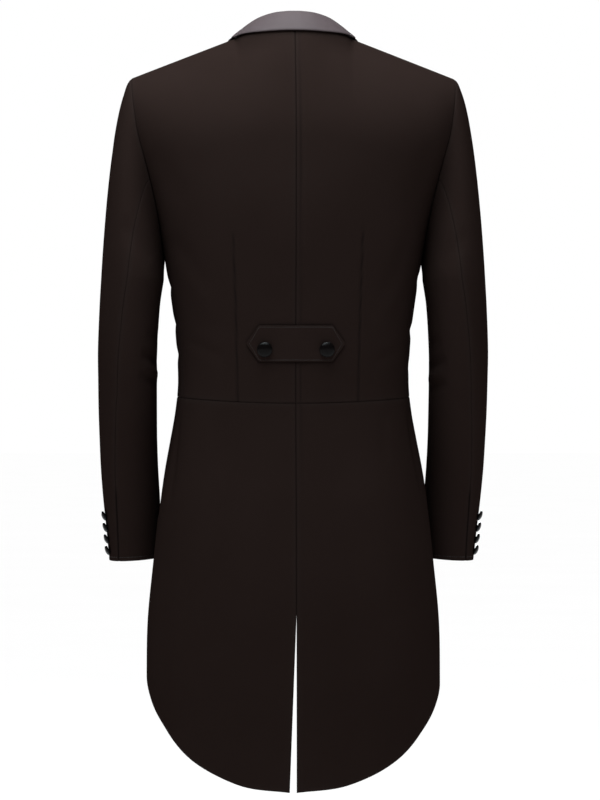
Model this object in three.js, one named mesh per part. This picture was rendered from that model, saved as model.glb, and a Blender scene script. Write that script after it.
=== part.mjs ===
// A tailcoat with a waist seam, a sweeping cutaway skirt and a centre back vent, filled out as if worn.
// Units are millimetres. +Z is up, the back faces +Y, the front faces -Y and the wearer's left is +X.
// The origin is the middle of the neck opening, at the level of the side neck points.
import * as THREE from 'three';
import { mergeVertices } from 'three/addons/utils/BufferGeometryUtils.js';

// Driving dimensions
const clothThickness = 2;
const satinThickness = 1.8;
const collarLift = 2.6;
const lapelLift = 1.6;
const beltLift = 0.7;
const seamGap = 0.3;
const neckHalfWidth = 75;
const backNeckDepth = 66;
const napeHeight = 20;
const neckPointHeight = 5;
const neckBlendHalfWidth = 79;
const neckSettle = 0.25;
const shoulderFall = 0.388;
const shoulderHalfWidth = 222;
const backRoll = { neckDrop: 165, shoulderDrop: 125, neckPower: 1, power: 0.6 };
const frontRoll = { neckDrop: 145, shoulderDrop: 120, power: 0.7 };
const sideWaistHeight = -491;
const backWaistDip = 9;
const frontWaistDip = 6;
const frontOverlap = 16;
const lapLift = 3.3;
const lapStartX = 44;
const lapWidth = 30;
const breakHeight = -468;
const gorgeHeight = -44;
const gorgeHalfWidth = 60;
const ventTopHeight = -785;
const leftVentOpening = 9;
const rightVentOpening = 0.4;
const ventHalfWidth = 200;
const ventSwingShare = 0.33;
const buttonAngleSteps = 12;

// Grid sizes, as cells
const bodyRows = 18;
const bodyCornerRow = 11;
const backColumns = 12;
const sideColumns = 4;
const frontColumns = 9;
const skirtColumns = 18;
const skirtRows = 12;
const sleeveHeadRows = 7;
const sleeveArmRows = 10;
const collarSteps = 26;
const lapelRows = 14;
const lapelColumns = 6;

// Level sections of the coat's body: half width, and depth to the back and to the front of the shoulder line
const bodySections = [
  { height: 40, halfWidth: 243, back: 118, front: 106, square: 0.06 },
  { height: -54, halfWidth: 243, back: 120, front: 110, square: 0.06 },
  { height: -119, halfWidth: 229, back: 125, front: 121, square: 0.06 },
  { height: -174, halfWidth: 210, back: 127, front: 129, square: 0.06 },
  { height: -224, halfWidth: 194, back: 126, front: 132, square: 0.06 },
  { height: -275, halfWidth: 182, back: 121, front: 132, square: 0.06 },
  { height: -323, halfWidth: 174, back: 114, front: 130, square: 0.06 },
  { height: -364, halfWidth: 167.5, back: 108, front: 127, square: 0.06 },
  { height: -406, halfWidth: 162.4, back: 103, front: 125, square: 0.06 },
  { height: -468, halfWidth: 159, back: 101, front: 123, square: 0.06 },
  { height: -509, halfWidth: 162.4, back: 103, front: 123, square: 0.06 },
  { height: -551, halfWidth: 169, back: 109, front: 125, square: 0.06 },
  { height: -592, halfWidth: 176, back: 116, front: 127, square: 0.06 },
  { height: -633, halfWidth: 182, back: 123, front: 129, square: 0.06 },
  { height: -716, halfWidth: 191, back: 130, front: 132, square: 0.05 },
  { height: -799, halfWidth: 199, back: 132, front: 133, square: 0.04 },
  { height: -882, halfWidth: 200.5, back: 131, front: 134, square: 0.04 },
  { height: -1036, halfWidth: 200.5, back: 128, front: 134, square: 0.04 },
];

// The armhole seam: turn 0 is the shoulder point, then down the back, under the arm and up the front
const armholePoints = [
  { turn: 0, angle: 62, height: -52.5 },
  { turn: 0.08, angle: 63.5, height: -85 },
  { turn: 0.17, angle: 66.5, height: -125 },
  { turn: 0.25, angle: 70, height: -172 },
  { turn: 0.33, angle: 74.5, height: -220 },
  { turn: 0.4, angle: 80, height: -261 },
  { turn: 0.45, angle: 86, height: -286 },
  { turn: 0.5, angle: 95, height: -299 },
  { turn: 0.55, angle: 104, height: -292 },
  { turn: 0.6, angle: 114, height: -266 },
  { turn: 0.67, angle: 124, height: -222 },
  { turn: 0.75, angle: 130.5, height: -172 },
  { turn: 0.83, angle: 130, height: -125 },
  { turn: 0.92, angle: 124, height: -82 },
  { turn: 1, angle: 118, height: -52.5 },
];
const backCornerTurn = 0.4;
const frontCornerTurn = 0.6;
const backSideSeamWaistAngle = 68;
const frontSideSeamWaistAngle = 112;

// The lower edge of the skirt, from the centre back hem round to the cutaway front edge
const hemPoints = [
  { along: 0, angle: 0, height: -1024 },
  { along: 0.11, angle: 20, height: -1015.2 },
  { along: 0.22, angle: 40, height: -985 },
  { along: 0.33, angle: 60, height: -941 },
  { along: 0.41, angle: 75, height: -906 },
  { along: 0.49, angle: 90, height: -869 },
  { along: 0.57, angle: 105, height: -827 },
  { along: 0.65, angle: 120, height: -777 },
  { along: 0.74, angle: 135, height: -721 },
  { along: 0.82, angle: 150, height: -654 },
  { along: 0.89, angle: 163, height: -596 },
  { along: 0.95, angle: 174, height: -550 },
  { along: 1, angle: 181.5, height: -522 },
];

// Level sections of the sleeve: outer and inner edge from the coat's middle, and its centre and half depth
const sleeveSections = [
  { height: -330, outer: 265, inner: 178.5, centre: 2, halfDepth: 68 },
  { height: -365, outer: 267, inner: 183.7, centre: 1, halfDepth: 66 },
  { height: -426, outer: 269.4, inner: 187.5, centre: -3, halfDepth: 63 },
  { height: -468, outer: 269.2, inner: 188, centre: -9, halfDepth: 61 },
  { height: -509, outer: 268.8, inner: 188, centre: -18, halfDepth: 59 },
  { height: -551, outer: 267.6, inner: 187.7, centre: -29, halfDepth: 57 },
  { height: -592, outer: 266, inner: 186.3, centre: -41, halfDepth: 55 },
  { height: -633, outer: 263, inner: 184, centre: -53, halfDepth: 53 },
  { height: -675, outer: 258.8, inner: 183, centre: -63, halfDepth: 51 },
  { height: -720, outer: 254.8, inner: 182.5, centre: -73.5, halfDepth: 48.7 },
];
const sleeveTop = -330;
const cuffHeight = -716.5;
const cuffSlant = 3;
const cuffSlantTurn = 0.1;
const sleeveSeamGap = 0.6;
const shoulderSeamExtra = 0.7;
const headLeave = { out: 0.35, back: 0.05, up: -0.8, outerUp: 0.12, pull: 0.115 };
const headArrive = { outerOut: -0.02, up: 0.36 };
const hindSeamCuffTurn = 0.14;
const foreSeamCuffTurn = 0.67;

// The collar from the centre back to its front end: its neck seam, roll line and lower edge
const collarSections = [
  { along: 0, seamX: 0, seamZ: 20, rollX: 0, rollY: 50, rollZ: 35.4, edgeX: 0, edgeZ: 5.8 },
  { along: 0.05, seamX: 11, seamZ: 19.7, rollX: 9, rollY: 49.5, rollZ: 35.3, edgeX: 10.5, edgeZ: 5.8 },
  { along: 0.15, seamX: 33, seamZ: 17, rollX: 27, rollY: 45, rollZ: 33.6, edgeX: 31, edgeZ: 5.4 },
  { along: 0.3, seamX: 58, seamZ: 11, rollX: 46, rollY: 32, rollZ: 28.5, edgeX: 58, edgeZ: 4 },
  { along: 0.42, seamX: 70, seamZ: 6.5, rollX: 57.5, rollY: 14, rollZ: 22.4, edgeX: 77, edgeZ: 1.6 },
  { along: 0.55, seamX: 74, seamZ: 4, rollX: 63.5, rollY: -8, rollZ: 15, edgeX: 89, edgeZ: -3 },
  { along: 0.7, seamX: 69.5, seamZ: -8, rollX: 65, rollY: -36, rollZ: 0, edgeX: 97, edgeZ: -20 },
  { along: 0.85, seamX: 64, seamZ: -26, rollX: 62.5, rollY: -64, rollZ: -22, edgeX: 96, edgeZ: -43 },
  { along: 1, seamX: 57.5, seamZ: -43, rollX: 59.5, rollY: -84, rollZ: -42, edgeX: 88, edgeZ: -60 },
];
const collarSeamRise = 0.7;

// The collar's fold: how far the crown, and the fall's start and middle, lie outwards of the roll line
const collarFold = { crownOut: 2.5, crownRise: 0.8, startOut: 5, startShare: 0.1, middleOut: 4 };

// The lapel's outer edge from the bottom end up to the tip of its peak, and its top edge back to the roll line
const lapelOuterEdge = [
  { along: 0, x: -10, height: -452 },
  { along: 0.2, x: 22, height: -375 },
  { along: 0.4, x: 58, height: -295 },
  { along: 0.6, x: 93, height: -215 },
  { along: 0.8, x: 121, height: -140 },
  { along: 1, x: 143, height: -66 },
];
const lapelTopEdge = [
  { along: 0, x: 61, height: -46 },
  { along: 0.5, x: 93, height: -65 },
  { along: 1, x: 143, height: -66 },
];
const lapelBottomRise = 6;
const lapelRollGap = 0.4;

// Half-belt and buttons
const beltHeight = -419;
const beltHalfLength = 66.5;
const beltStraightHalfLength = 50;
const beltHalfDepth = 24.5;
const beltButtonX = 41.5;
const beltButtonHeight = -427;
const largeButton = { radius: 10.5, rise: 5.5, shank: 3, shankRadius: 3.5 };
const cuffButton = { radius: 7.2, rise: 4.2, shank: 1.8, shankRadius: 2 };
const cuffButtonTop = -653;
const cuffButtonPitch = 16;
const cuffButtonTurn = 0.05;
const cuffButtonTilt = 0.24;
const cuffButtonStandOff = 0.35;
const cuffButtonCount = 4;
const frontButtonHeight = -482;

const degrees = Math.PI / 180;
const mix = (a, b, t) => a + (b - a) * t;
const clamp = (value, low, high) => Math.min(Math.max(value, low), high);
const easeStep = (t) => { const c = clamp(t, 0, 1); return c * c * (3 - 2 * c); };

// Smooth curve through a table's rows: a cubic between each pair, with slopes taken from the rows beside it
function readTable(table, key, column, at) {
  const rising = table[table.length - 1][key] > table[0][key];
  const place = clamp(at, Math.min(table[0][key], table[table.length - 1][key]),
    Math.max(table[0][key], table[table.length - 1][key]));
  let i = 0;
  while (i < table.length - 2 && (rising ? place > table[i + 1][key] : place < table[i + 1][key])) i += 1;
  const slope = (j) => {
    const low = table[Math.max(j - 1, 0)];
    const high = table[Math.min(j + 1, table.length - 1)];
    return (high[column] - low[column]) / (high[key] - low[key]);
  };
  const span = table[i + 1][key] - table[i][key];
  const t = (place - table[i][key]) / span;
  const a = table[i][column];
  const b = table[i + 1][column];
  const firstPull = slope(i) * span;
  const lastPull = slope(i + 1) * span;
  return a + firstPull * t + (3 * (b - a) - 2 * firstPull - lastPull) * t * t
    + (2 * (a - b) + firstPull + lastPull) * t * t * t;
}

// Height of the coat's top edge over a place x: the neck curve, then the sloping shoulder seam
function topHeight(x) {
  const across = Math.abs(x);
  if (across < neckHalfWidth) return mix(napeHeight, neckPointHeight, (across / neckHalfWidth) ** 2);
  return neckPointHeight - shoulderFall * (across - neckHalfWidth);
}

// A point on the body's outer face. The angle is 0 at the centre back, 90 at the side, 180 at the centre front.
// Each level section is an ellipse with its diagonals pushed out. Over the last stretch below the top edge,
// the depth rolls in to the neck curve, half an ellipse that softens downwards, or to the shoulder seam.
function bodyPoint(angle, height, lift = 0) {
  const turn = angle * degrees;
  const bulge = 1 + readTable(bodySections, 'height', 'square', height) * Math.sin(2 * turn) ** 2;
  const x = readTable(bodySections, 'height', 'halfWidth', height) * Math.sin(turn) * bulge;
  const isBack = Math.cos(turn) > 0;
  const depth = readTable(bodySections, 'height', isBack ? 'back' : 'front', height);
  const sectionY = depth * Math.cos(turn) * bulge;
  const roll = isBack ? backRoll : frontRoll;
  const rollDrop = mix(roll.neckDrop, roll.shoulderDrop, Math.abs(x) / shoulderHalfWidth);
  const t = clamp((topHeight(x) - height) / rollDrop, 0, 1);
  const neckShare = clamp(Math.abs(x) / neckBlendHalfWidth, 0, 1);
  const neckPower = 0.5 + easeStep(t / neckSettle);
  const neckY = isBack ? backNeckDepth * (1 - neckShare ** 2) ** neckPower + seamGap : -seamGap;
  const power = isBack ? mix(roll.neckPower, roll.power, easeStep(Math.abs(x) / neckHalfWidth)) : roll.power;
  const y = neckY + (sectionY - neckY) * (1 - (1 - t) ** 2) ** power;
  const point = new THREE.Vector3(x, y, height);
  return lift === 0 ? point : point.addScaledVector(bodyNormal(angle, height), lift);
}

// Outward normal of the body's face, from small steps along it
function bodyNormal(angle, height) {
  const level = Math.min(height, topHeight(bodyPoint(angle, height).x) - 0.05);
  const across = bodyPoint(angle + 0.2, level).sub(bodyPoint(angle - 0.2, level));
  const up = bodyPoint(angle, level + 0.04).sub(bodyPoint(angle, level - 0.04));
  return up.cross(across).normalize();
}

// The angle at which the body's section at a height reaches a place x, on the back or on the front
function bodyAngle(x, height, isFront) {
  let low = isFront ? 90 : -90;
  let high = isFront ? 270 : 90;
  for (let i = 0; i < 40; i += 1) {
    const middle = (low + high) / 2;
    const reached = bodyPoint(middle, height).x;
    if (isFront ? reached > x : reached < x) low = middle;
    else high = middle;
  }
  return (low + high) / 2;
}

// How far a front is moved out where the fronts lap: the wearer's left lies outside the right
function lapShift(point, side) {
  return point.y < 0 ? side * lapLift * easeStep((lapStartX - point.x) / lapWidth) : 0;
}

// Height of the waist seam round the body
function waistHeight(angle) {
  const dip = Math.abs(angle) < 90 ? backWaistDip : frontWaistDip;
  return sideWaistHeight - dip * Math.cos(angle * degrees) ** 2;
}

// The armhole seam at a turn, as an angle and height on the body
function armhole(turn) {
  return {
    angle: readTable(armholePoints, 'turn', 'angle', turn),
    height: readTable(armholePoints, 'turn', 'height', turn),
  };
}

// Turns at which the body panels' corners lie on the armhole seam: the sleeve's top edge uses the same ones
const armholeCells = bodyRows - bodyCornerRow;
const armholeNodes = [];
for (let i = 0; i <= armholeCells; i += 1) armholeNodes.push(backCornerTurn * i / armholeCells);
for (let i = 1; i <= sideColumns; i += 1) {
  armholeNodes.push(mix(backCornerTurn, frontCornerTurn, i / sideColumns));
}
for (let i = 1; i <= armholeCells; i += 1) armholeNodes.push(mix(frontCornerTurn, 1, i / armholeCells));

// A point on the armhole seam, on the straight edge between two panel corners
function armholeEdge(turn) {
  const place = turn - Math.floor(turn);
  let i = 0;
  while (i < armholeNodes.length - 2 && place > armholeNodes[i + 1]) i += 1;
  const [first, last] = [armholeNodes[i], armholeNodes[i + 1]].map((node) => {
    const seam = armhole(node);
    return bodyPoint(seam.angle, seam.height);
  });
  return first.lerp(last, (place - armholeNodes[i]) / (armholeNodes[i + 1] - armholeNodes[i]));
}

// A closed wall from a grid of outer points and a grid of inner points, both rows by columns
function wallGeometry(outer, inner, closedRound = false) {
  const rows = outer.length;
  const columns = outer[0].length;
  const positions = [];
  for (const grid of [outer, inner]) {
    for (const row of grid) {
      for (const point of row) positions.push(point.x, point.y, point.z);
    }
  }
  const at = (layer, row, column) => layer * rows * columns + row * columns + (column % columns);
  const indices = [];
  const quad = (a, b, c, d) => indices.push(a, b, c, a, c, d);
  const lastColumn = closedRound ? columns : columns - 1;
  for (let row = 0; row < rows - 1; row += 1) {
    for (let column = 0; column < lastColumn; column += 1) {
      quad(at(0, row, column), at(0, row, column + 1), at(0, row + 1, column + 1), at(0, row + 1, column));
      quad(at(1, row, column), at(1, row + 1, column), at(1, row + 1, column + 1), at(1, row, column + 1));
    }
  }
  for (let column = 0; column < lastColumn; column += 1) {
    quad(at(0, 0, column), at(1, 0, column), at(1, 0, column + 1), at(0, 0, column + 1));
    quad(at(0, rows - 1, column + 1), at(1, rows - 1, column + 1), at(1, rows - 1, column),
      at(0, rows - 1, column));
  }
  if (!closedRound) {
    for (let row = 0; row < rows - 1; row += 1) {
      quad(at(0, row + 1, 0), at(1, row + 1, 0), at(1, row, 0), at(0, row, 0));
      quad(at(0, row, columns - 1), at(1, row, columns - 1), at(1, row + 1, columns - 1),
        at(0, row + 1, columns - 1));
    }
  }
  const geometry = new THREE.BufferGeometry();
  geometry.setAttribute('position', new THREE.Float32BufferAttribute(positions, 3));
  geometry.setIndex(indices);
  return faceOut(geometry);
}

// Turns a closed geometry's triangles round if its signed volume says that they face inwards
function faceOut(geometry) {
  const index = geometry.index.array;
  const position = geometry.attributes.position;
  const a = new THREE.Vector3();
  const b = new THREE.Vector3();
  const c = new THREE.Vector3();
  let volume = 0;
  for (let i = 0; i < index.length; i += 3) {
    a.fromBufferAttribute(position, index[i]);
    b.fromBufferAttribute(position, index[i + 1]);
    c.fromBufferAttribute(position, index[i + 2]);
    volume += a.dot(b.cross(c));
  }
  if (volume < 0) {
    for (let i = 0; i < index.length; i += 3) [index[i], index[i + 1]] = [index[i + 1], index[i]];
  }
  return geometry;
}

// Pulls a grid's edges in along the grid's own lines, so that half a seam gap opens square to the edge
function trimEdges(grid, trims) {
  const lastRow = grid.length - 1;
  const lastColumn = grid[0].length - 1;
  const pull = (edge, inner, before, after) => {
    const step = inner.point.clone().sub(edge.point);
    const length = step.length();
    const line = after.point.clone().sub(before.point).normalize();
    const slant = Math.max(line.cross(step.clone().normalize()).length(), 0.25);
    return { edge, move: step.multiplyScalar(Math.min(seamGap / 2 / slant / Math.max(length, 0.001), 0.45)) };
  };
  const moves = [];
  for (let column = 0; column <= lastColumn; column += 1) {
    const before = Math.max(column - 1, 0);
    const after = Math.min(column + 1, lastColumn);
    if (trims.bottom) moves.push(pull(grid[0][column], grid[1][column], grid[0][before], grid[0][after]));
    if (trims.top) {
      const edge = grid[lastRow];
      moves.push(pull(edge[column], grid[lastRow - 1][column], edge[before], edge[after]));
    }
  }
  for (let row = 0; row <= lastRow; row += 1) {
    const before = grid[Math.max(row - 1, 0)];
    const after = grid[Math.min(row + 1, lastRow)];
    if (trims.start) moves.push(pull(grid[row][0], grid[row][1], before[0], after[0]));
    if (trims.end) {
      moves.push(pull(grid[row][lastColumn], grid[row][lastColumn - 1], before[lastColumn], after[lastColumn]));
    }
  }
  for (const { edge, move } of moves) edge.point.add(move);
}

// A wall from outer points that each carry their outward normal, mirrored for the wearer's right side
function wallFromCells(cells, thickness, side) {
  const mirror = (p) => new THREE.Vector3(p.x * side, p.y, p.z);
  const outer = cells.map((line) => line.map(({ point }) => mirror(point)));
  const inner = cells.map((line) => line.map(({ point, normal }) => (
    mirror(point.clone().addScaledVector(normal, -thickness)))));
  return wallGeometry(outer, inner);
}

// A four-sided patch of the body: each side is a curve of angles and heights, and the inside is blended
// from the opposite sides, less the blend of the corners
function bodyPatch({ bottom, top, start, end }, columns, rows, trims, side) {
  const blend = (key, u, v) => {
    const between = mix(bottom(u)[key], top(u)[key], v) + mix(start(v)[key], end(v)[key], u);
    const corners = mix(mix(bottom(0)[key], bottom(1)[key], u), mix(top(0)[key], top(1)[key], u), v);
    return between - corners;
  };
  const grid = [];
  for (let row = 0; row <= rows; row += 1) {
    const line = [];
    for (let column = 0; column <= columns; column += 1) {
      const u = column / columns;
      const v = row / rows;
      const angle = blend('angle', u, v);
      const height = blend('height', u, v);
      const normal = bodyNormal(angle, height);
      const point = bodyPoint(angle, height);
      point.addScaledVector(normal, lapShift(point, side));
      line.push({ point, normal });
    }
    grid.push(line);
  }
  trimEdges(grid, trims);
  return grid;
}

// The shoulder line and the neck curve as a run of angles and heights, from a share along it
const neckPointAngle = bodyAngle(neckHalfWidth, neckPointHeight, false);
const neckColumns = 4;
function backTopEdge(u) {
  const neckShare = neckColumns / backColumns;
  const angle = u < neckShare ? neckPointAngle * (u / neckShare)
    : mix(neckPointAngle, armhole(0).angle, (u - neckShare) / (1 - neckShare));
  return { angle, height: topHeight(bodyPoint(angle, 0).x) };
}

// A back, from the centre seam to the side seam and up to the neck and the shoulder
function backPanel(side) {
  const cornerShare = bodyCornerRow / bodyRows;
  const corner = armhole(backCornerTurn);
  const waist = waistHeight(backSideSeamWaistAngle);
  const grid = bodyPatch({
    bottom: (u) => ({ angle: backSideSeamWaistAngle * u, height: waistHeight(backSideSeamWaistAngle * u) }),
    top: backTopEdge,
    start: (v) => ({ angle: 0, height: mix(waistHeight(0), napeHeight, v) }),
    end: (v) => (v <= cornerShare
      ? { angle: mix(backSideSeamWaistAngle, corner.angle, v / cornerShare),
        height: mix(waist, corner.height, v / cornerShare) }
      : armhole(backCornerTurn * (1 - (v - cornerShare) / (1 - cornerShare)))),
  }, backColumns, bodyRows, { bottom: true, top: true, start: true, end: true }, 0);
  return wallFromCells(grid, clothThickness, side);
}

// A side body: a narrow panel under the arm, between the back's and the front's side seams
function sidePanel(side) {
  const backCorner = armhole(backCornerTurn);
  const frontCorner = armhole(frontCornerTurn);
  const waistAngle = (u) => mix(backSideSeamWaistAngle, frontSideSeamWaistAngle, u);
  const grid = bodyPatch({
    bottom: (u) => ({ angle: waistAngle(u), height: waistHeight(waistAngle(u)) }),
    top: (u) => armhole(mix(backCornerTurn, frontCornerTurn, u)),
    start: (v) => ({ angle: mix(backSideSeamWaistAngle, backCorner.angle, v),
      height: mix(waistHeight(backSideSeamWaistAngle), backCorner.height, v) }),
    end: (v) => ({ angle: mix(frontSideSeamWaistAngle, frontCorner.angle, v),
      height: mix(waistHeight(frontSideSeamWaistAngle), frontCorner.height, v) }),
  }, sideColumns, bodyCornerRow, { bottom: true, top: true, start: true, end: true }, 0);
  return wallFromCells(grid, clothThickness, side);
}

// Where the roll line runs, from the gorge down to the end of the lapel's roll at the button
function rollLineX(height) {
  const share = (gorgeHeight - height) / (gorgeHeight - breakHeight);
  return mix(gorgeHalfWidth, -frontOverlap, clamp(share, 0, 1));
}

// The front's free edge, upwards: the lapped edge, the roll line, then the neck seam to the neck point
function frontEdge(v) {
  const breakShare = 0.09;
  const gorgeShare = 0.9;
  let height;
  let x;
  if (v < breakShare) {
    height = mix(waistHeight(180), breakHeight, v / breakShare);
    x = -frontOverlap;
  } else if (v < gorgeShare) {
    height = mix(breakHeight, gorgeHeight, (v - breakShare) / (gorgeShare - breakShare));
    x = rollLineX(height);
  } else {
    const share = (v - gorgeShare) / (1 - gorgeShare);
    height = mix(gorgeHeight, neckPointHeight, share);
    x = mix(gorgeHalfWidth, neckHalfWidth, Math.sin(share * Math.PI / 2));
  }
  return { angle: bodyAngle(x, height, true), height };
}

// A front, from the side seam to the roll line and the lapped edge
function frontPanel(side) {
  const cornerShare = bodyCornerRow / bodyRows;
  const corner = armhole(frontCornerTurn);
  const waist = waistHeight(frontSideSeamWaistAngle);
  const lastAngle = frontEdge(0).angle;
  const neckAngle = frontEdge(1).angle;
  const waistAngle = (u) => mix(frontSideSeamWaistAngle, lastAngle, u);
  const grid = bodyPatch({
    bottom: (u) => ({ angle: waistAngle(u), height: waistHeight(waistAngle(u)) }),
    top: (u) => {
      const angle = mix(armhole(1).angle, neckAngle, u);
      return { angle, height: topHeight(bodyPoint(angle, 0).x) };
    },
    start: (v) => (v <= cornerShare
      ? { angle: mix(frontSideSeamWaistAngle, corner.angle, v / cornerShare),
        height: mix(waist, corner.height, v / cornerShare) }
      : armhole(mix(frontCornerTurn, 1, (v - cornerShare) / (1 - cornerShare)))),
    end: frontEdge,
  }, frontColumns, bodyRows, { bottom: true, top: true, start: true, end: false }, side);
  return wallFromCells(grid, clothThickness, side);
}

// Angle of the skirt's centre back edge: along the seam, then opening below the vent's top. The photo's
// left tail swings away from the middle, and the right one hangs straight.
function ventAngle(height, side) {
  const opening = side > 0 ? leftVentOpening : rightVentOpening;
  const share = clamp((ventTopHeight - height) / (ventTopHeight - hemPoints[0].height), 0, 1);
  return Math.asin(opening * share / ventHalfWidth) / degrees;
}

// A skirt, from the centre back seam and vent round to the cutaway front edge. The tail's swing at the vent
// dies away over the first share of the hem.
function skirtPanel(side) {
  const frontAngle = frontEdge(0).angle;
  const swing = ventAngle(hemPoints[0].height, side);
  const hem = (u) => ({
    angle: readTable(hemPoints, 'along', 'angle', u) + swing * Math.max(1 - u / ventSwingShare, 0),
    height: readTable(hemPoints, 'along', 'height', u),
  });
  const grid = bodyPatch({
    bottom: hem,
    top: (u) => ({ angle: frontAngle * u, height: waistHeight(frontAngle * u) }),
    start: (v) => {
      const height = mix(hemPoints[0].height, waistHeight(0), v);
      return { angle: ventAngle(height, side), height };
    },
    end: (v) => ({ angle: mix(hem(1).angle, frontAngle, v), height: mix(hem(1).height, waistHeight(180), v) }),
  }, skirtColumns, skirtRows, { bottom: false, top: true, start: true, end: false }, side);
  return wallFromCells(grid, clothThickness, side);
}

// A point on the sleeve's level section: turn 0 is the outer edge, a quarter the back, a half the inner edge
function sleeveSectionPoint(turn, height) {
  const outer = readTable(sleeveSections, 'height', 'outer', height);
  const inner = readTable(sleeveSections, 'height', 'inner', height);
  const centre = readTable(sleeveSections, 'height', 'centre', height);
  const halfDepth = readTable(sleeveSections, 'height', 'halfDepth', height);
  const angle = turn * 2 * Math.PI;
  return new THREE.Vector3((outer + inner) / 2 + (outer - inner) / 2 * Math.cos(angle),
    centre + halfDepth * Math.sin(angle), height);
}

// A point on the sleeve's outer face. Above the level of the armpit each line is a cubic curve that leaves
// the armhole seam outwards and reaches the first level section straight downwards. The cuff's edge slants:
// it is lowest at the outer back.
function sleevePoint(turn, share) {
  const headShare = sleeveHeadRows / (sleeveHeadRows + sleeveArmRows);
  if (share >= headShare) {
    const cuff = cuffHeight - cuffSlant * Math.cos((turn - cuffSlantTurn) * 2 * Math.PI);
    return sleeveSectionPoint(turn, mix(sleeveTop, cuff, (share - headShare) / (1 - headShare)));
  }
  const around = turn * 2 * Math.PI;
  const first = armholeEdge(turn);
  first.x += sleeveSeamGap + shoulderSeamExtra * Math.max(Math.cos(around), 0);
  const last = sleeveSectionPoint(turn, sleeveTop);
  const reach = first.distanceTo(last);
  const leave = new THREE.Vector3(headLeave.out * (1 + Math.cos(around)), headLeave.back * Math.sin(around),
    headLeave.up + headLeave.outerUp * Math.cos(around));
  const second = first.clone().addScaledVector(leave, headLeave.pull * reach);
  const third = last.clone().add(new THREE.Vector3(headArrive.outerOut * reach * Math.max(Math.cos(around), 0), 0,
    headArrive.up * reach));
  return new THREE.CubicBezierCurve3(first, second, third, last).getPoint(share / headShare);
}

// Outward normal of the sleeve's face, from small steps round it and down it
function sleeveNormal(turn, share) {
  const around = sleevePoint(turn + 0.004, share).sub(sleevePoint(turn - 0.004, share));
  const down = sleevePoint(turn, Math.min(share + 0.004, 1)).sub(sleevePoint(turn, Math.max(share - 0.004, 0)));
  return down.cross(around).normalize();
}

// A sleeve piece between two seams, from the turns of its columns at the armhole and its edges at the cuff
function sleevePiece(side, topTurns, cuffStart, cuffEnd) {
  const rows = sleeveHeadRows + sleeveArmRows;
  const columns = topTurns.length - 1;
  const grid = [];
  for (let row = 0; row <= rows; row += 1) {
    const share = row / rows;
    const line = [];
    for (let column = 0; column <= columns; column += 1) {
      const turn = mix(topTurns[column], mix(cuffStart, cuffEnd, column / columns), share);
      line.push({ point: sleevePoint(turn, share), normal: sleeveNormal(turn, share) });
    }
    grid.push(line);
  }
  trimEdges(grid, { start: true, end: true });
  return wallFromCells(grid, clothThickness, side);
}
const hindNode = 5;
const foreNode = 12;
const topSleeveTurns = armholeNodes.slice(foreNode, -1).map((turn) => turn - 1)
  .concat(armholeNodes.slice(0, hindNode + 1));
const underSleeveTurns = armholeNodes.slice(hindNode, foreNode + 1)
  .flatMap((turn, i, turns) => (i === 0 ? [turn] : [(turns[i - 1] + turn) / 2, turn]));

// A point of the body at a place x and a height, moved out from its face
function onBack(x, height, lift) {
  return bodyPoint(bodyAngle(x, height, false), height, lift);
}
function onFront(x, height, lift) {
  return bodyPoint(bodyAngle(x, height, true), height, lift);
}

// The collar: a stand that rises from the neck seam to the roll line, and a fall that turns down over the coat.
// Its cross-section is a bent strip, outer face first and then the inner face back, carried round the neck.
function collarGeometry() {
  const outer = [];
  const inner = [];
  for (let step = 0; step <= collarSteps; step += 1) {
    const along = mix(-1, 1, step / collarSteps);
    const mirror = along < 0 ? -1 : 1;
    const read = (column) => readTable(collarSections, 'along', column, Math.abs(along));
    const place = Math.abs(along) < 0.5 ? onBack : onFront;
    const seam = place(read('seamX'), Math.min(read('seamZ'), topHeight(read('seamX'))), 0);
    seam.z += collarSeamRise;
    const roll = new THREE.Vector3(read('rollX'), read('rollY'), read('rollZ'));
    const edge = place(read('edgeX'), Math.min(read('edgeZ'), topHeight(read('edgeX'))),
      satinThickness + collarLift);
    const outward = edge.clone().sub(roll).setZ(0).normalize();
    const stand = seam.clone().sub(roll);
    const fall = edge.clone().sub(roll);
    const fallFace = new THREE.Vector3(outward.y, -outward.x, 0).cross(fall).normalize();
    const standFace = new THREE.Vector3(-outward.y, outward.x, 0).cross(stand).normalize();
    const crown = outward.clone().multiplyScalar(collarFold.crownOut).setZ(collarFold.crownRise);
    const moved = (out, share) => roll.clone().addScaledVector(outward, out).addScaledVector(fall, share);
    const strip = [
      { point: seam, face: standFace },
      { point: roll.clone().addScaledVector(stand, 0.5), face: standFace },
      { point: roll.clone().addScaledVector(stand, 0.1), face: standFace },
      { point: roll.clone().add(crown), face: new THREE.Vector3(0, 0, 1) },
      { point: moved(collarFold.startOut, collarFold.startShare), face: fallFace },
      { point: moved(collarFold.middleOut, 0.5), face: fallFace },
      { point: edge, face: fallFace },
    ];
    const flip = (p) => new THREE.Vector3(p.x * mirror, p.y, p.z);
    outer.push(strip.map(({ point }) => flip(point)));
    inner.push(strip.map(({ point, face }) => flip(point.clone().addScaledVector(face, -satinThickness))));
  }
  return wallGeometry(outer, inner);
}

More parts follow.
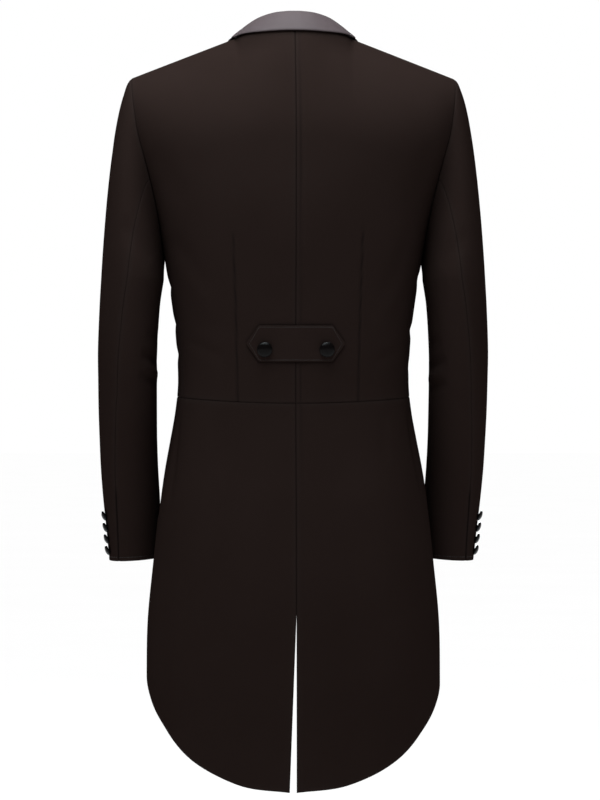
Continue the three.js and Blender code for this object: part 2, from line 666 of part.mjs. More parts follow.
// A lapel lies on its front, from the roll line to its outer edge, and ends in a peak
function lapelGeometry(side) {
  const grid = [];
  for (let row = 0; row <= lapelRows; row += 1) {
    const v = row / lapelRows;
    const line = [];
    for (let column = 0; column <= lapelColumns; column += 1) {
      const u = column / lapelColumns;
      const bottomHeight = breakHeight + lapelBottomRise;
      const startHeight = mix(bottomHeight, lapelTopEdge[0].height, v);
      const start = { x: rollLineX(startHeight) + lapelRollGap, height: startHeight };
      const end = { x: readTable(lapelOuterEdge, 'along', 'x', v),
        height: readTable(lapelOuterEdge, 'along', 'height', v) };
      const top = { x: readTable(lapelTopEdge, 'along', 'x', u),
        height: readTable(lapelTopEdge, 'along', 'height', u) };
      const blend = (key, bottomStart, bottomEnd) => {
        const bottom = mix(bottomStart, bottomEnd, u);
        const corners = mix(bottom, mix(lapelTopEdge[0][key], lapelTopEdge[2][key], u), v);
        return mix(bottom, top[key], v) + mix(start[key], end[key], u) - corners;
      };
      const x = blend('x', rollLineX(bottomHeight) + lapelRollGap, lapelOuterEdge[0].x);
      const height = blend('height', bottomHeight, lapelOuterEdge[0].height);
      line.push({ x, height });
    }
    grid.push(line);
  }
  const lifted = (lift) => grid.map((line) => line.map(({ x, height }) => {
    const angle = bodyAngle(x, height, true);
    return bodyPoint(angle, height, lift + lapShift(bodyPoint(angle, height), side));
  }));
  const mirror = (rows) => rows.map((line) => line.map((p) => new THREE.Vector3(p.x * side, p.y, p.z)));
  return wallGeometry(mirror(lifted(lapelLift + satinThickness)), mirror(lifted(lapelLift)));
}

// A cloth-covered button on a shank: a domed disc turned about its own axis
function buttonGeometry({ radius, rise, shank, shankRadius }) {
  const profile = [
    new THREE.Vector2(0, 0),
    new THREE.Vector2(shankRadius, 0),
    new THREE.Vector2(shankRadius, shank),
    new THREE.Vector2(radius * 0.86, shank + 0.2),
    new THREE.Vector2(radius, shank + rise * 0.3),
    new THREE.Vector2(radius * 0.88, shank + rise * 0.66),
    new THREE.Vector2(radius * 0.5, shank + rise * 0.93),
    new THREE.Vector2(0, shank + rise),
  ];
  const geometry = new THREE.LatheGeometry(profile, buttonAngleSteps);
  geometry.deleteAttribute('normal');
  geometry.deleteAttribute('uv');
  return faceOut(mergeVertices(geometry, 0.001));
}

// The half-belt: a band with a pointed end each way, laid on the back just above the waist seam
function beltGeometry() {
  const stations = [-1, -0.88, -0.75, -0.5, -0.25, 0, 0.25, 0.5, 0.75, 0.88, 1];
  const depthSteps = [-1, -0.5, 0, 0.5, 1];
  const pointDepth = 0.04;
  const points = (lift) => stations.map((station) => {
    const x = station * beltHalfLength;
    const past = clamp((Math.abs(x) - beltStraightHalfLength) / (beltHalfLength - beltStraightHalfLength), 0, 1);
    const halfDepth = beltHalfDepth * mix(1, pointDepth, past);
    return depthSteps.map((step) => onBack(x, beltHeight + halfDepth * step, lift));
  });
  return wallGeometry(points(beltLift + clothThickness), points(beltLift));
}

const coat = new THREE.Group();
const cloth = () => new THREE.MeshStandardMaterial({ color: 0x1d1815, roughness: 0.82, metalness: 0 });
const satin = () => new THREE.MeshStandardMaterial({ color: 0x4a4344, roughness: 0.45, metalness: 0 });
const buttonCloth = () => new THREE.MeshStandardMaterial({ color: 0x14100f, roughness: 0.55, metalness: 0 });

function addPiece(name, geometry, material) {
  const mesh = new THREE.Mesh(geometry, material);
  mesh.name = name;
  coat.add(mesh);
  return mesh;
}

// Seats a button's shank at a point, with its axis along the outward direction there
function addButton(name, shape, point, outward) {
  const button = addPiece(name, buttonGeometry(shape), buttonCloth());
  button.position.copy(point).addScaledVector(outward, seamGap);
  button.quaternion.setFromUnitVectors(new THREE.Vector3(0, 1, 0), outward);
}

for (const [label, side] of [['left', 1], ['right', -1]]) {
  addPiece(`back_${label}`, backPanel(side), cloth());
  addPiece(`side_${label}`, sidePanel(side), cloth());
  addPiece(`front_${label}`, frontPanel(side), cloth());
  addPiece(`skirt_${label}`, skirtPanel(side), cloth());
  addPiece(`sleeve_top_${label}`,
    sleevePiece(side, topSleeveTurns, foreSeamCuffTurn - 1, hindSeamCuffTurn), cloth());
  addPiece(`sleeve_under_${label}`,
    sleevePiece(side, underSleeveTurns, hindSeamCuffTurn, foreSeamCuffTurn), cloth());
}

addPiece('collar', collarGeometry(), satin());
addPiece('half_belt', beltGeometry(), cloth());

for (const [label, side] of [['left', 1], ['right', -1]]) {
  addPiece(`lapel_${label}`, lapelGeometry(side), satin());

  const beltAngle = bodyAngle(side * beltButtonX, beltButtonHeight, false);
  const beltFace = beltLift + clothThickness;
  addButton(`belt_button_${label}`, largeButton, bodyPoint(beltAngle, beltButtonHeight, beltFace),
    bodyNormal(beltAngle, beltButtonHeight));

  for (let i = 0; i < cuffButtonCount; i += 1) {
    const height = cuffButtonTop - i * cuffButtonPitch;
    const armShare = (sleeveTop - height) / (sleeveTop - cuffHeight);
    const headShare = sleeveHeadRows / (sleeveHeadRows + sleeveArmRows);
    const share = mix(headShare, 1, armShare);
    const mirror = (p) => p.setX(p.x * side);
    const outward = sleeveNormal(cuffButtonTurn, share);
    const faced = outward.clone().add(new THREE.Vector3(0, 0, -cuffButtonTilt)).normalize();
    const seat = sleevePoint(cuffButtonTurn, share).addScaledVector(outward, cuffButtonStandOff);
    addButton(`cuff_button_${label}_${i + 1}`, cuffButton, mirror(seat), mirror(faced));
  }
}

const frontButtonAngle = bodyAngle(0, frontButtonHeight, true);
addButton('front_button', largeButton, bodyPoint(frontButtonAngle, frontButtonHeight, lapLift),
  bodyNormal(frontButtonAngle, frontButtonHeight));

export default coat;
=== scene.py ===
"""A dark tailcoat seen from the back, filled out as if worn, over a plain white studio floor.

Shapes are worked out in millimetres, as a pattern is cut, and go into the meshes in metres.
+Z is up, the back faces +Y, the front faces -Y and the wearer's left is +X.
"""

import math

import bpy
import numpy as np
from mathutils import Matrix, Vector


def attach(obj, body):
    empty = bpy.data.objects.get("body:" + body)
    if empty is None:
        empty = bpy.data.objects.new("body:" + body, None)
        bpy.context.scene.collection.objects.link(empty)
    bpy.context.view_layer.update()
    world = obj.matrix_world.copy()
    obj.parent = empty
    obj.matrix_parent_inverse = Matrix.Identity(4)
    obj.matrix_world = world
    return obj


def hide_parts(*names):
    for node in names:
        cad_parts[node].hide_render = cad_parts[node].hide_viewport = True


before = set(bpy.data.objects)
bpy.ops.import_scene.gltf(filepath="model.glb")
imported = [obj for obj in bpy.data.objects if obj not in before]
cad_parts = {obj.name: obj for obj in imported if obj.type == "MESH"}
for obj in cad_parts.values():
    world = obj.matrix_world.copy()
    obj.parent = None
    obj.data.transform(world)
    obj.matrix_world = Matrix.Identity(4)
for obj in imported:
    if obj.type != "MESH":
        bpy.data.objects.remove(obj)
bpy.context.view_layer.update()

MILLIMETRE = 0.001


def table(columns, *rows):
    """A table with named columns: one array for each column."""
    return dict(zip(columns.split(), np.array(rows, float).T))


# Cloth and seams
CLOTH = 2.0
SATIN = 1.8
SEAM_OVERLAP = 0.06
ARMHOLE_TUCK = 1.6
ARMHOLE_TUCK_FADE = 0.08
ARMHOLE_MIDDLE = {"angle": 92, "height": -165}
SEAM_DEPTH = 0.45
SEAM_SPREAD = 1.5
# Painted shade along the seams: how dark it is and how far it spreads
SEAM_LINE = 0.5
SEAM_LINE_SPREAD = 1.3
EDGE_WEAR_SPREAD = 5.0
EDGE_RADIUS = 0.8
ROUNDED_STEPS = (0, 0.1, 0.3, 0.6, 1.0, 1.8)
FINE_STEPS = 15
HEM_TURN_UP = 34.0
HEM_EXTRA = 1.2
HEM_STEP = 1.5

# The coat's body, neck and shoulders
NECK_HALF_WIDTH = 75
NECK_BLEND_HALF_WIDTH = 79
BACK_NECK_DEPTH = 66
NAPE_HEIGHT = 20
NECK_POINT_HEIGHT = 5
NECK_SETTLE = 0.25
SHOULDER_FALL = 0.388
SHOULDER_HALF_WIDTH = 222
BACK_ROLL_DROPS = (165, 125)
FRONT_ROLL_DROPS = (145, 120)
BACK_ROLL_POWER = 0.6
FRONT_ROLL_POWER = 0.7
SIDE_WAIST_HEIGHT = -491
BACK_WAIST_DIP = 9
FRONT_WAIST_DIP = 6
FRONT_OVERLAP = 16
LAP_LIFT = 3.3
LAP_START_X = 44
LAP_WIDTH = 30
BREAK_HEIGHT = -468
GORGE_HEIGHT = -44
GORGE_HALF_WIDTH = 60
VENT_TOP_HEIGHT = -785
VENT_OPENINGS = {1: 9, -1: 0.4}
VENT_HALF_WIDTH = 200
VENT_SWING_SHARE = 0.33
BACK_SEAM_WAIST_ANGLE = 68
FRONT_SEAM_WAIST_ANGLE = 112
BACK_CORNER_TURN = 0.4
FRONT_CORNER_TURN = 0.6
LAST_TURN = 1 - 1e-9
CORNER_SHARE = 11 / 18
NECK_SHARE = 4 / 12

# Level sections of the body: half width, and depth to the back and to the front of the shoulder line
BODY = table(
    "height half_width back front square",
    (40, 243, 118, 106, 0.06),
    (-54, 243, 120, 110, 0.06),
    (-119, 229, 125, 121, 0.06),
    (-174, 210, 127, 129, 0.06),
    (-224, 194, 126, 132, 0.06),
    (-275, 182, 121, 132, 0.06),
    (-323, 174, 114, 130, 0.06),
    (-364, 167.5, 108, 127, 0.06),
    (-406, 162.4, 103, 125, 0.06),
    (-468, 159, 101, 123, 0.06),
    (-509, 162.4, 103, 123, 0.06),
    (-551, 169, 109, 125, 0.06),
    (-592, 176, 116, 127, 0.06),
    (-633, 182, 123, 129, 0.06),
    (-716, 191, 130, 132, 0.05),
    (-799, 199, 132, 133, 0.04),
    (-882, 200.5, 131, 134, 0.04),
    (-1036, 200.5, 128, 134, 0.04),
)

# The armhole seam: turn 0 is the shoulder point, then down the back, under the arm and up the front
ARMHOLE = table(
    "turn angle height",
    (0, 62, -52.5),
    (0.08, 63.5, -85),
    (0.17, 66.5, -125),
    (0.25, 70, -172),
    (0.33, 74.5, -220),
    (0.4, 80, -261),
    (0.45, 86, -286),
    (0.5, 95, -299),
    (0.55, 104, -292),
    (0.6, 114, -266),
    (0.67, 124, -222),
    (0.75, 130.5, -172),
    (0.83, 130, -125),
    (0.92, 124, -82),
    (1, 118, -52.5),
)

# The skirt's lower edge, from the centre back hem round to the cutaway front edge
HEM = table(
    "along angle height",
    (0, 0, -1024),
    (0.11, 20, -1015.2),
    (0.22, 40, -985),
    (0.33, 60, -941),
    (0.41, 75, -906),
    (0.49, 90, -869),
    (0.57, 105, -827),
    (0.65, 120, -777),
    (0.74, 135, -721),
    (0.82, 150, -654),
    (0.89, 163, -596),
    (0.95, 174, -550),
    (1, 181.5, -522),
)

# Level sections of the sleeve: outer and inner edge from the coat's middle, its centre and half depth
SLEEVE = table(
    "height outer inner centre half_depth",
    (-330, 265, 178.5, 2, 68),
    (-365, 267, 183.7, 1, 66),
    (-426, 269.4, 187.5, -3, 63),
    (-468, 269.2, 188, -9, 61),
    (-509, 268.8, 188, -18, 59),
    (-551, 267.6, 187.7, -29, 57),
    (-592, 266, 186.3, -41, 55),
    (-633, 263, 184, -53, 53),
    (-675, 258.8, 183, -63, 51),
    (-720, 254.8, 182.5, -73.5, 48.7),
)
SLEEVE_TOP = -330
CUFF_HEIGHT = -716.5
CUFF_SLANT = 3
CUFF_SLANT_TURN = 0.1
SLEEVE_HEAD_SHARE = 7 / 17
SLEEVE_LEAVE_REACH = 0.115
SLEEVE_ARRIVE_REACH = 0.36
SLEEVE_LENGTH = 640
SLEEVE_WIDTHS = {"top": 190, "under": 130}
SLEEVE_COLUMNS = {"top": 60, "under": 48}
HIND_SEAM_TURNS = (0.2857, 0.14)
FORE_SEAM_TURNS = (0.6571, 0.67)

# The collar from the centre back to its front end: its neck seam, roll line and lower edge
COLLAR = table(
    "along seam_x seam_z roll_x roll_y roll_z edge_x edge_z",
    (0, 0, 20, 0, 50, 35.4, 0, 5.8),
    (0.05, 11, 19.7, 9, 49.5, 35.3, 10.5, 5.8),
    (0.15, 33, 17, 27, 45, 33.6, 31, 5.4),
    (0.3, 58, 11, 46, 32, 28.5, 58, 4),
    (0.42, 70, 6.5, 57.5, 14, 22.4, 77, 1.6),
    (0.55, 74, 4, 63.5, -8, 15, 89, -3),
    (0.7, 69.5, -8, 65, -36, 0, 97, -20),
    (0.85, 64, -26, 62.5, -64, -22, 96, -43),
    (1, 57.5, -43, 59.5, -84, -42, 88, -60),
)
COLLAR_LIFT = 2.6
COLLAR_SEAM_RISE = -2.0
COLLAR_CROWN_OUT = 2.5
COLLAR_CROWN_RISE = 0.8
COLLAR_FALL_OUT = 5
COLLAR_MIDDLE_OUT = 4
COLLAR_COLUMNS = 201
COLLAR_ROWS = 61

# The lapel's outer edge from its bottom end up to the tip of the peak, and its top edge
LAPEL_OUTER = table(
    "along x height",
    (0, -10, -452),
    (0.2, 22, -375),
    (0.4, 58, -295),
    (0.6, 93, -215),
    (0.8, 121, -140),
    (1, 143, -66),
)
LAPEL_TOP = table("along x height", (0, 61, -46), (0.5, 93, -65), (1, 143, -66))
LAPEL_LIFT = 1.6
LAPEL_BOTTOM_RISE = 6
LAPEL_ROLL_GAP = 0.4

# Half-belt and buttons
BELT_HEIGHT = -419
BELT_HALF_LENGTH = 66.5
BELT_STRAIGHT_HALF_LENGTH = 50
BELT_HALF_DEPTH = 24.5
BELT_POINT_SHARE = 0.04
BELT_LIFT = 0.7
BELT_EDGE_WEAR = 0.25
# The line round the half-belt, above and below: how deep it sinks and how dark its painted shade is; the
# lower one is a painted shadow under the belt
BELT_LINES = {1: 0.6, -1: 0.95}
BELT_LINE_SPREAD = 1.5
BELT_LINE_GROOVE = 0.5
BELT_LINE_FADE = 3
BELT_BUTTON_X = 41.5
BELT_BUTTON_HEIGHT = -427
FRONT_BUTTON_HEIGHT = -482
LARGE_BUTTON = {"radius": 10.5, "rise": 5.5, "shank": 3, "shank_radius": 3.5}
CUFF_BUTTON = {"radius": 7.2, "rise": 4.2, "shank": 1.8, "shank_radius": 2}
CUFF_BUTTON_TOP = -653
CUFF_BUTTON_PITCH = 16
CUFF_BUTTON_TURN = 0.05
CUFF_BUTTON_TILT = 0.24
CUFF_BUTTON_COUNT = 4
BUTTON_SIDES = 48
BUTTON_LIP = 0.3
BUTTON_BASE = 0.86

SIDES = {1: "left", -1: "right"}
WHOLE_EDGE = ("start", "end", "bottom", "top")

# Darts, by their distance from the centre seam at a height
BACK_DARTS = {
    1: table("height x", (-262, 85.5), (-380, 81), (-500, 78.5)),
    -1: table("height x", (-250, 91), (-380, 87.5), (-500, 85)),
}
FRONT_DART = table("height x", (-235, 104), (-370, 92), (-500, 86))
DART_DEPTH = 0.8
DART_SPREAD = 1.3
# Painted shade along the darts
DART_LINE = 0.9
DART_FADE = 25
ALLOWANCE_WIDTH = 6.3
ALLOWANCE_DEPTH = 0.22
ALLOWANCE_SPREAD = 1.2
# Painted shade beside the pressed allowance
ALLOWANCE_LINE = 0.5

# Sleeve seams, cuff vent and stitch lines
SLEEVE_SEAM_DEPTH = 0.22
# Painted shade along the sleeve seams
SLEEVE_SEAM_LINE = 0.2
CUFF_VENT_TOP = -610
CUFF_VENT_DEPTH = 0.9
CUFF_VENT_SPREAD = 2.0
CUFF_VENT_FADE = 20
CUFF_STITCH_RISE = 5.5
STITCH_DEPTH = 0.28
STITCH_SPREAD = 0.8
STITCH_ROW_HALF_WIDTH = 2
CUFF_STITCHES = {"spacing": 3.2, "length": 2.3, "width": 0.5}
BELT_STITCHES = {"spacing": 3.4, "length": 2.2, "width": 0.45}
BELT_STITCH_INSET = 2.2

# Creases: each runs from one place of the cloth to another and is a trough where its height is negative.
# Places are a distance from the centre and a height on the back and fronts. On the side bodies and the
# skirt the distance is the angle times the arc of a degree, and on the sleeve the turn times its girth.
SIDE_ARC = 2.8
SKIRT_ARC = 3.4
CREASE_FULLNESS = 2.0
CREASE_END_POWER = 0.8
SLEEVE_ROUND = 330
BACK_CREASES = {
    1: [
        (168, -268, 118, -352, -1.1, 11), (150, -300, 108, -392, 0.9, 13),
        (150, -412, 96, -440, -0.8, 8), (34, -330, 28, -396, -0.5, 9),
        (196, -150, 150, -235, -0.9, 16),
    ],
    -1: [
        (160, -262, 122, -366, -1.2, 12), (144, -322, 112, -404, 0.8, 12),
        (148, -424, 104, -446, -0.7, 8), (7.5, -20, 7.5, -330, -0.35, 2.6),
        (190, -140, 154, -240, -0.8, 16),
    ],
}
SIDE_CREASES = {
    1: [
        (205, -330, 290, -346, -1.3, 9), (210, -382, 285, -396, -1.0, 8),
        (215, -436, 296, -428, -0.9, 8),
    ],
    -1: [
        (208, -322, 286, -340, -1.2, 10), (205, -398, 290, -402, -1.1, 8),
        (220, -450, 300, -444, -0.7, 8),
    ],
}
FRONT_CREASES = {
    1: [
        (158, -272, 118, -372, -1.3, 12), (140, -330, 100, -420, 0.9, 12),
        (112, -452, 30, -474, -1.2, 8), (96, -424, 24, -462, 0.7, 9),
    ],
    -1: [
        (162, -266, 124, -360, -1.2, 12), (132, -338, 96, -428, 0.8, 12),
        (108, -446, 34, -470, -1.0, 8), (126, -470, 60, -478, -0.6, 7),
    ],
}
SKIRT_CREASES = {
    1: [
        (238, -512, 226, -640, -1.4, 12), (120, -508, 112, -600, -0.8, 13),
        (330, -520, 300, -660, -1.2, 15), (452, -516, 384, -640, -1.1, 14),
    ],
    -1: [
        (232, -512, 240, -622, -1.2, 12), (150, -508, 138, -586, -0.7, 12),
        (340, -522, 306, -668, -1.1, 15), (446, -518, 392, -620, -1.0, 13),
    ],
}
# Flutes of the skirt: the angle at the flutes' height, its lean in degrees a millimetre, depth and spread
FLUTE_HEIGHT = -500
FLUTE_FADE = 120
SKIRT_FLUTES = {
    1: [
        (24, -0.006, -1.6, 7), (43, 0.008, 2.2, 8), (66, 0.012, -2.2, 8),
        (90, 0.01, 2.0, 9), (126, 0.03, -1.8, 9),
    ],
    -1: [
        (20, -0.004, -1.4, 7), (38, 0.006, 1.9, 8), (61, 0.01, -1.9, 8),
        (86, 0.012, 2.2, 9), (121, 0.03, -1.7, 9),
    ],
}
SLEEVE_CREASES = {
    1: [
        (108, -432, 168, -448, -2.0, 7), (112, -448, 170, -462, 1.2, 7),
        (104, -462, 164, -474, -1.6, 7), (118, -404, 170, -412, -1.1, 8),
        (196, -430, 252, -452, -2.2, 8), (204, -462, 250, -476, -1.5, 7),
        (60, -250, 118, -306, -1.2, 14), (30, -470, 92, -500, -0.8, 12),
        (214, -560, 268, -584, -1.2, 10),
    ],
    -1: [
        (110, -440, 166, -454, -1.8, 7), (114, -456, 168, -468, 1.1, 7),
        (108, -472, 160, -482, -1.7, 7), (120, -414, 168, -420, -1.0, 8),
        (194, -436, 256, -458, -2.1, 8), (206, -470, 252, -482, -1.4, 7),
        (56, -262, 112, -312, -1.1, 14), (34, -486, 90, -512, -0.7, 12),
        (216, -552, 264, -578, -1.1, 10),
    ],
}


# Curves and surfaces
def mix(first, last, share):
    """The value a share of the way from first to last."""
    return first + (last - first) * share


def ease(share):
    """An S-shaped step from 0 to 1."""
    c = np.clip(share, 0, 1)
    return c * c * (3 - 2 * c)


def bell(distance, spread):
    """A bell curve: 1 at no distance, and falling off over the spread."""
    return np.exp(-(distance / spread) ** 2)


def unit(vectors):
    """Each vector divided by its length."""
    return vectors / np.maximum(np.linalg.norm(vectors, axis=-1, keepdims=True), 1e-9)


def read(sections, key, column, at):
    """Smooth curve through a table's rows: a cubic between each pair, with slopes from the rows beside it."""
    keys, values = sections[key], sections[column]
    if keys[0] > keys[-1]:
        keys, values = keys[::-1], values[::-1]
    last = len(keys) - 1
    row = np.arange(last + 1)
    low, high = np.maximum(row - 1, 0), np.minimum(row + 1, last)
    slope = (values[high] - values[low]) / (keys[high] - keys[low])
    place = np.clip(at, keys[0], keys[-1])
    i = np.clip(np.searchsorted(keys, place, side="right") - 1, 0, last - 1)
    span = keys[i + 1] - keys[i]
    t = (place - keys[i]) / span
    a, b = values[i], values[i + 1]
    first_pull, last_pull = slope[i] * span, slope[i + 1] * span
    square = (3 * (b - a) - 2 * first_pull - last_pull) * t ** 2
    return a + first_pull * t + square + (2 * (a - b) + first_pull + last_pull) * t ** 3


def top_height(x):
    """Height of the coat's top edge over x: a parabola across the neck, then the straight shoulder."""
    across = np.abs(x)
    neck = mix(NAPE_HEIGHT, NECK_POINT_HEIGHT, (across / NECK_HALF_WIDTH) ** 2)
    shoulder = NECK_POINT_HEIGHT - SHOULDER_FALL * (across - NECK_HALF_WIDTH)
    return np.where(across < NECK_HALF_WIDTH, neck, shoulder)


def body_point(angle, height):
    """The body's outer face. Angle 0 is the centre back, 90 the side and 180 the centre front.

    Each level section is an ellipse with its diagonals pushed out by the sine of twice the angle, squared.
    Below the top edge the depth rolls in, as a power of a circle, to the shoulder seam or to the neck
    curve, which is half an ellipse that softens downwards.
    """
    angle, height = np.broadcast_arrays(np.asarray(angle, float), np.asarray(height, float))
    turn = np.radians(angle)
    is_back = np.cos(turn) > 0
    bulge = 1 + read(BODY, "height", "square", height) * np.sin(2 * turn) ** 2
    x = read(BODY, "height", "half_width", height) * np.sin(turn) * bulge
    depth = np.where(is_back, read(BODY, "height", "back", height), read(BODY, "height", "front", height))
    section_y = depth * np.cos(turn) * bulge
    shoulder_share = np.abs(x) / SHOULDER_HALF_WIDTH
    drop = np.where(is_back, mix(*BACK_ROLL_DROPS, shoulder_share), mix(*FRONT_ROLL_DROPS, shoulder_share))
    t = np.clip((top_height(x) - height) / drop, 0, 1)
    neck_share = np.clip(np.abs(x) / NECK_BLEND_HALF_WIDTH, 0, 1)
    neck_curve = BACK_NECK_DEPTH * (1 - neck_share ** 2) ** (0.5 + ease(t / NECK_SETTLE))
    neck_y = np.where(is_back, neck_curve - SEAM_OVERLAP, SEAM_OVERLAP)
    back_power = mix(1, BACK_ROLL_POWER, ease(np.abs(x) / NECK_HALF_WIDTH))
    power = np.where(is_back, back_power, FRONT_ROLL_POWER)
    y = neck_y + (section_y - neck_y) * (1 - (1 - t) ** 2) ** power
    return np.stack([x, y, height], -1)


def body_normal(angle, height):
    """Outward normal of the body's face, from small steps round it and up it."""
    level = np.minimum(height, top_height(body_point(angle, height)[..., 0]) - 0.05)
    across = body_point(angle + 0.2, level) - body_point(angle - 0.2, level)
    up = body_point(angle, level + 0.04) - body_point(angle, level - 0.04)
    return unit(np.cross(up, across))


def body_angle(x, height, is_front):
    """The angle at which the body's section at a height reaches x, by halving an interval."""
    x, height = np.broadcast_arrays(np.asarray(x, float), np.asarray(height, float))
    low = np.full(x.shape, 90.0 if is_front else -90.0)
    high = np.full(x.shape, 270.0 if is_front else 90.0)
    for _ in range(40):
        middle = (low + high) / 2
        reached = body_point(middle, height)[..., 0]
        before = reached > x if is_front else reached < x
        low, high = np.where(before, middle, low), np.where(before, high, middle)
    return (low + high) / 2


def lap_shift(points, side):
    """How far a front is moved out where the fronts lap: the wearer's left lies outside the right."""
    lap = side * LAP_LIFT * ease((LAP_START_X - points[..., 0]) / LAP_WIDTH)
    return np.where(points[..., 1] < 0, lap, 0)


def waist_height(angle):
    """Height of the waist seam: it dips by the square of the cosine towards the back and the front."""
    dip = np.where(np.abs(angle) < 90, BACK_WAIST_DIP, FRONT_WAIST_DIP)
    return SIDE_WAIST_HEIGHT - dip * np.cos(np.radians(angle)) ** 2


def armhole(turn):
    """Angle and height of the armhole seam at a turn."""
    place = turn - np.floor(turn)
    return read(ARMHOLE, "turn", "angle", place), read(ARMHOLE, "turn", "height", place)


def tucked_armhole(turn):
    """The armhole edge of the body's panels: the seam moved a little towards the hole's middle, so that
    the cloth reaches under the sleeve and no light comes through. It eases to nothing at the shoulder.
    """
    angle, height = armhole(turn)
    across, along = (ARMHOLE_MIDDLE["angle"] - angle) * SIDE_ARC, ARMHOLE_MIDDLE["height"] - height
    fade = ease(np.minimum(turn, 1 - turn) / ARMHOLE_TUCK_FADE)
    share = ARMHOLE_TUCK * fade / np.hypot(across, along)
    return angle + across * share / SIDE_ARC, height + along * share


def shoulder_height(angle):
    """The height of the shoulder seam and the neck at an angle."""
    return top_height(body_point(angle, np.zeros_like(angle))[..., 0])


def sleeve_point(turn, share):
    """The sleeve's outer face. Turn 0 is the outer edge, a quarter the back, a half the inner edge.

    Below the armpit it runs through elliptical level sections. Above, each line is a cubic curve that
    leaves the armhole seam outwards and reaches the first section straight downwards. The cuff's edge
    slants by the cosine of the turn, lowest at the outer back.
    """
    turn, share = np.broadcast_arrays(np.asarray(turn, float), np.asarray(share, float))
    around = turn * 2 * np.pi

    def section(height):
        outer, inner = read(SLEEVE, "height", "outer", height), read(SLEEVE, "height", "inner", height)
        centre = read(SLEEVE, "height", "centre", height)
        half_depth = read(SLEEVE, "height", "half_depth", height)
        x = (outer + inner) / 2 + (outer - inner) / 2 * np.cos(around)
        return np.stack([x, centre + half_depth * np.sin(around), height], -1)

    cuff = CUFF_HEIGHT - CUFF_SLANT * np.cos((turn - CUFF_SLANT_TURN) * 2 * np.pi)
    arm = section(mix(SLEEVE_TOP, cuff, np.clip((share - SLEEVE_HEAD_SHARE) / (1 - SLEEVE_HEAD_SHARE), 0, 1)))
    first = body_point(*armhole(turn))
    last = section(np.full(turn.shape, float(SLEEVE_TOP)))
    reach = np.linalg.norm(last - first, axis=-1)
    leave_z = -0.8 + 0.12 * np.cos(around)
    leave = np.stack([0.35 + 0.35 * np.cos(around), 0.05 * np.sin(around), leave_z], -1)
    second = first + leave * SLEEVE_LEAVE_REACH * reach[..., None]
    arrive_x = -0.02 * np.maximum(np.cos(around), 0)
    arrive = np.stack([arrive_x, 0 * around, 0 * around + SLEEVE_ARRIVE_REACH], -1)
    third = last + arrive * reach[..., None]
    t = np.clip(share / SLEEVE_HEAD_SHARE, 0, 1)[..., None]
    head = (1 - t) ** 3 * first + 3 * (1 - t) ** 2 * t * second + 3 * (1 - t) * t ** 2 * third + t ** 3 * last
    return np.where((share < SLEEVE_HEAD_SHARE)[..., None], head, arm)


def sleeve_normal(turn, share):
    """Outward normal of the sleeve's face, from small steps round it and down it."""
    around = sleeve_point(turn + 0.004, share) - sleeve_point(turn - 0.004, share)
    down = sleeve_point(turn, np.minimum(share + 0.004, 1)) - sleeve_point(turn, np.maximum(share - 0.004, 0))
    return unit(np.cross(down, around))


def roll_line_x(height):
    """Where the lapel's roll line runs at a height: straight from the gorge down to the closing."""
    share = (GORGE_HEIGHT - height) / (GORGE_HEIGHT - BREAK_HEIGHT)
    return mix(GORGE_HALF_WIDTH, -FRONT_OVERLAP, np.clip(share, 0, 1))


def front_edge(v):
    """The front's free edge upwards: the lapped edge, the roll line, then the neck seam."""
    break_share, gorge_share = 0.09, 0.9
    waist = waist_height(180)
    neck = (v - gorge_share) / (1 - gorge_share)
    lapped = mix(waist, BREAK_HEIGHT, v / break_share)
    rolled = mix(BREAK_HEIGHT, GORGE_HEIGHT, (v - break_share) / (gorge_share - break_share))
    height = np.where(v < break_share, lapped,
                      np.where(v < gorge_share, rolled, mix(GORGE_HEIGHT, NECK_POINT_HEIGHT, neck)))
    neck_x = mix(GORGE_HALF_WIDTH, NECK_HALF_WIDTH, np.sin(np.clip(neck, 0, 1) * np.pi / 2))
    x = np.where(v < gorge_share, roll_line_x(height), neck_x)
    return body_angle(x, height, True), height


# Meshes
def wall_faces(rows, columns):
    """Quads of a closed wall: an outer grid, an inner grid turned round, and the four rims between them."""
    outer, inner = np.arange(2 * rows * columns).reshape(2, rows, columns)

    def quads(a, b, c, d):
        return np.stack([a, b, c, d], -1).reshape(-1, 4)

    return np.concatenate([
        quads(outer[:-1, :-1], outer[:-1, 1:], outer[1:, 1:], outer[1:, :-1]),
        quads(inner[:-1, :-1], inner[1:, :-1], inner[1:, 1:], inner[:-1, 1:]),
        quads(outer[0, :-1], inner[0, :-1], inner[0, 1:], outer[0, 1:]),
        quads(outer[-1, 1:], inner[-1, 1:], inner[-1, :-1], outer[-1, :-1]),
        quads(outer[1:, 0], inner[1:, 0], inner[:-1, 0], outer[:-1, 0]),
        quads(outer[:-1, -1], inner[:-1, -1], inner[1:, -1], outer[1:, -1]),
    ])


def face_out(vertices, faces):
    """The faces, turned round if the volume that they enclose comes out negative."""
    a, b, c, d = (vertices[faces[:, k]] for k in range(4))
    volume = np.einsum("ij,ij->", a, np.cross(b, c)) + np.einsum("ij,ij->", a, np.cross(c, d))
    return faces[:, ::-1] if volume < 0 else faces


def in_scene(name, data):
    """An object of its data, put in the scene."""
    made = bpy.data.objects.new(name, data)
    bpy.context.scene.collection.objects.link(made)
    return made


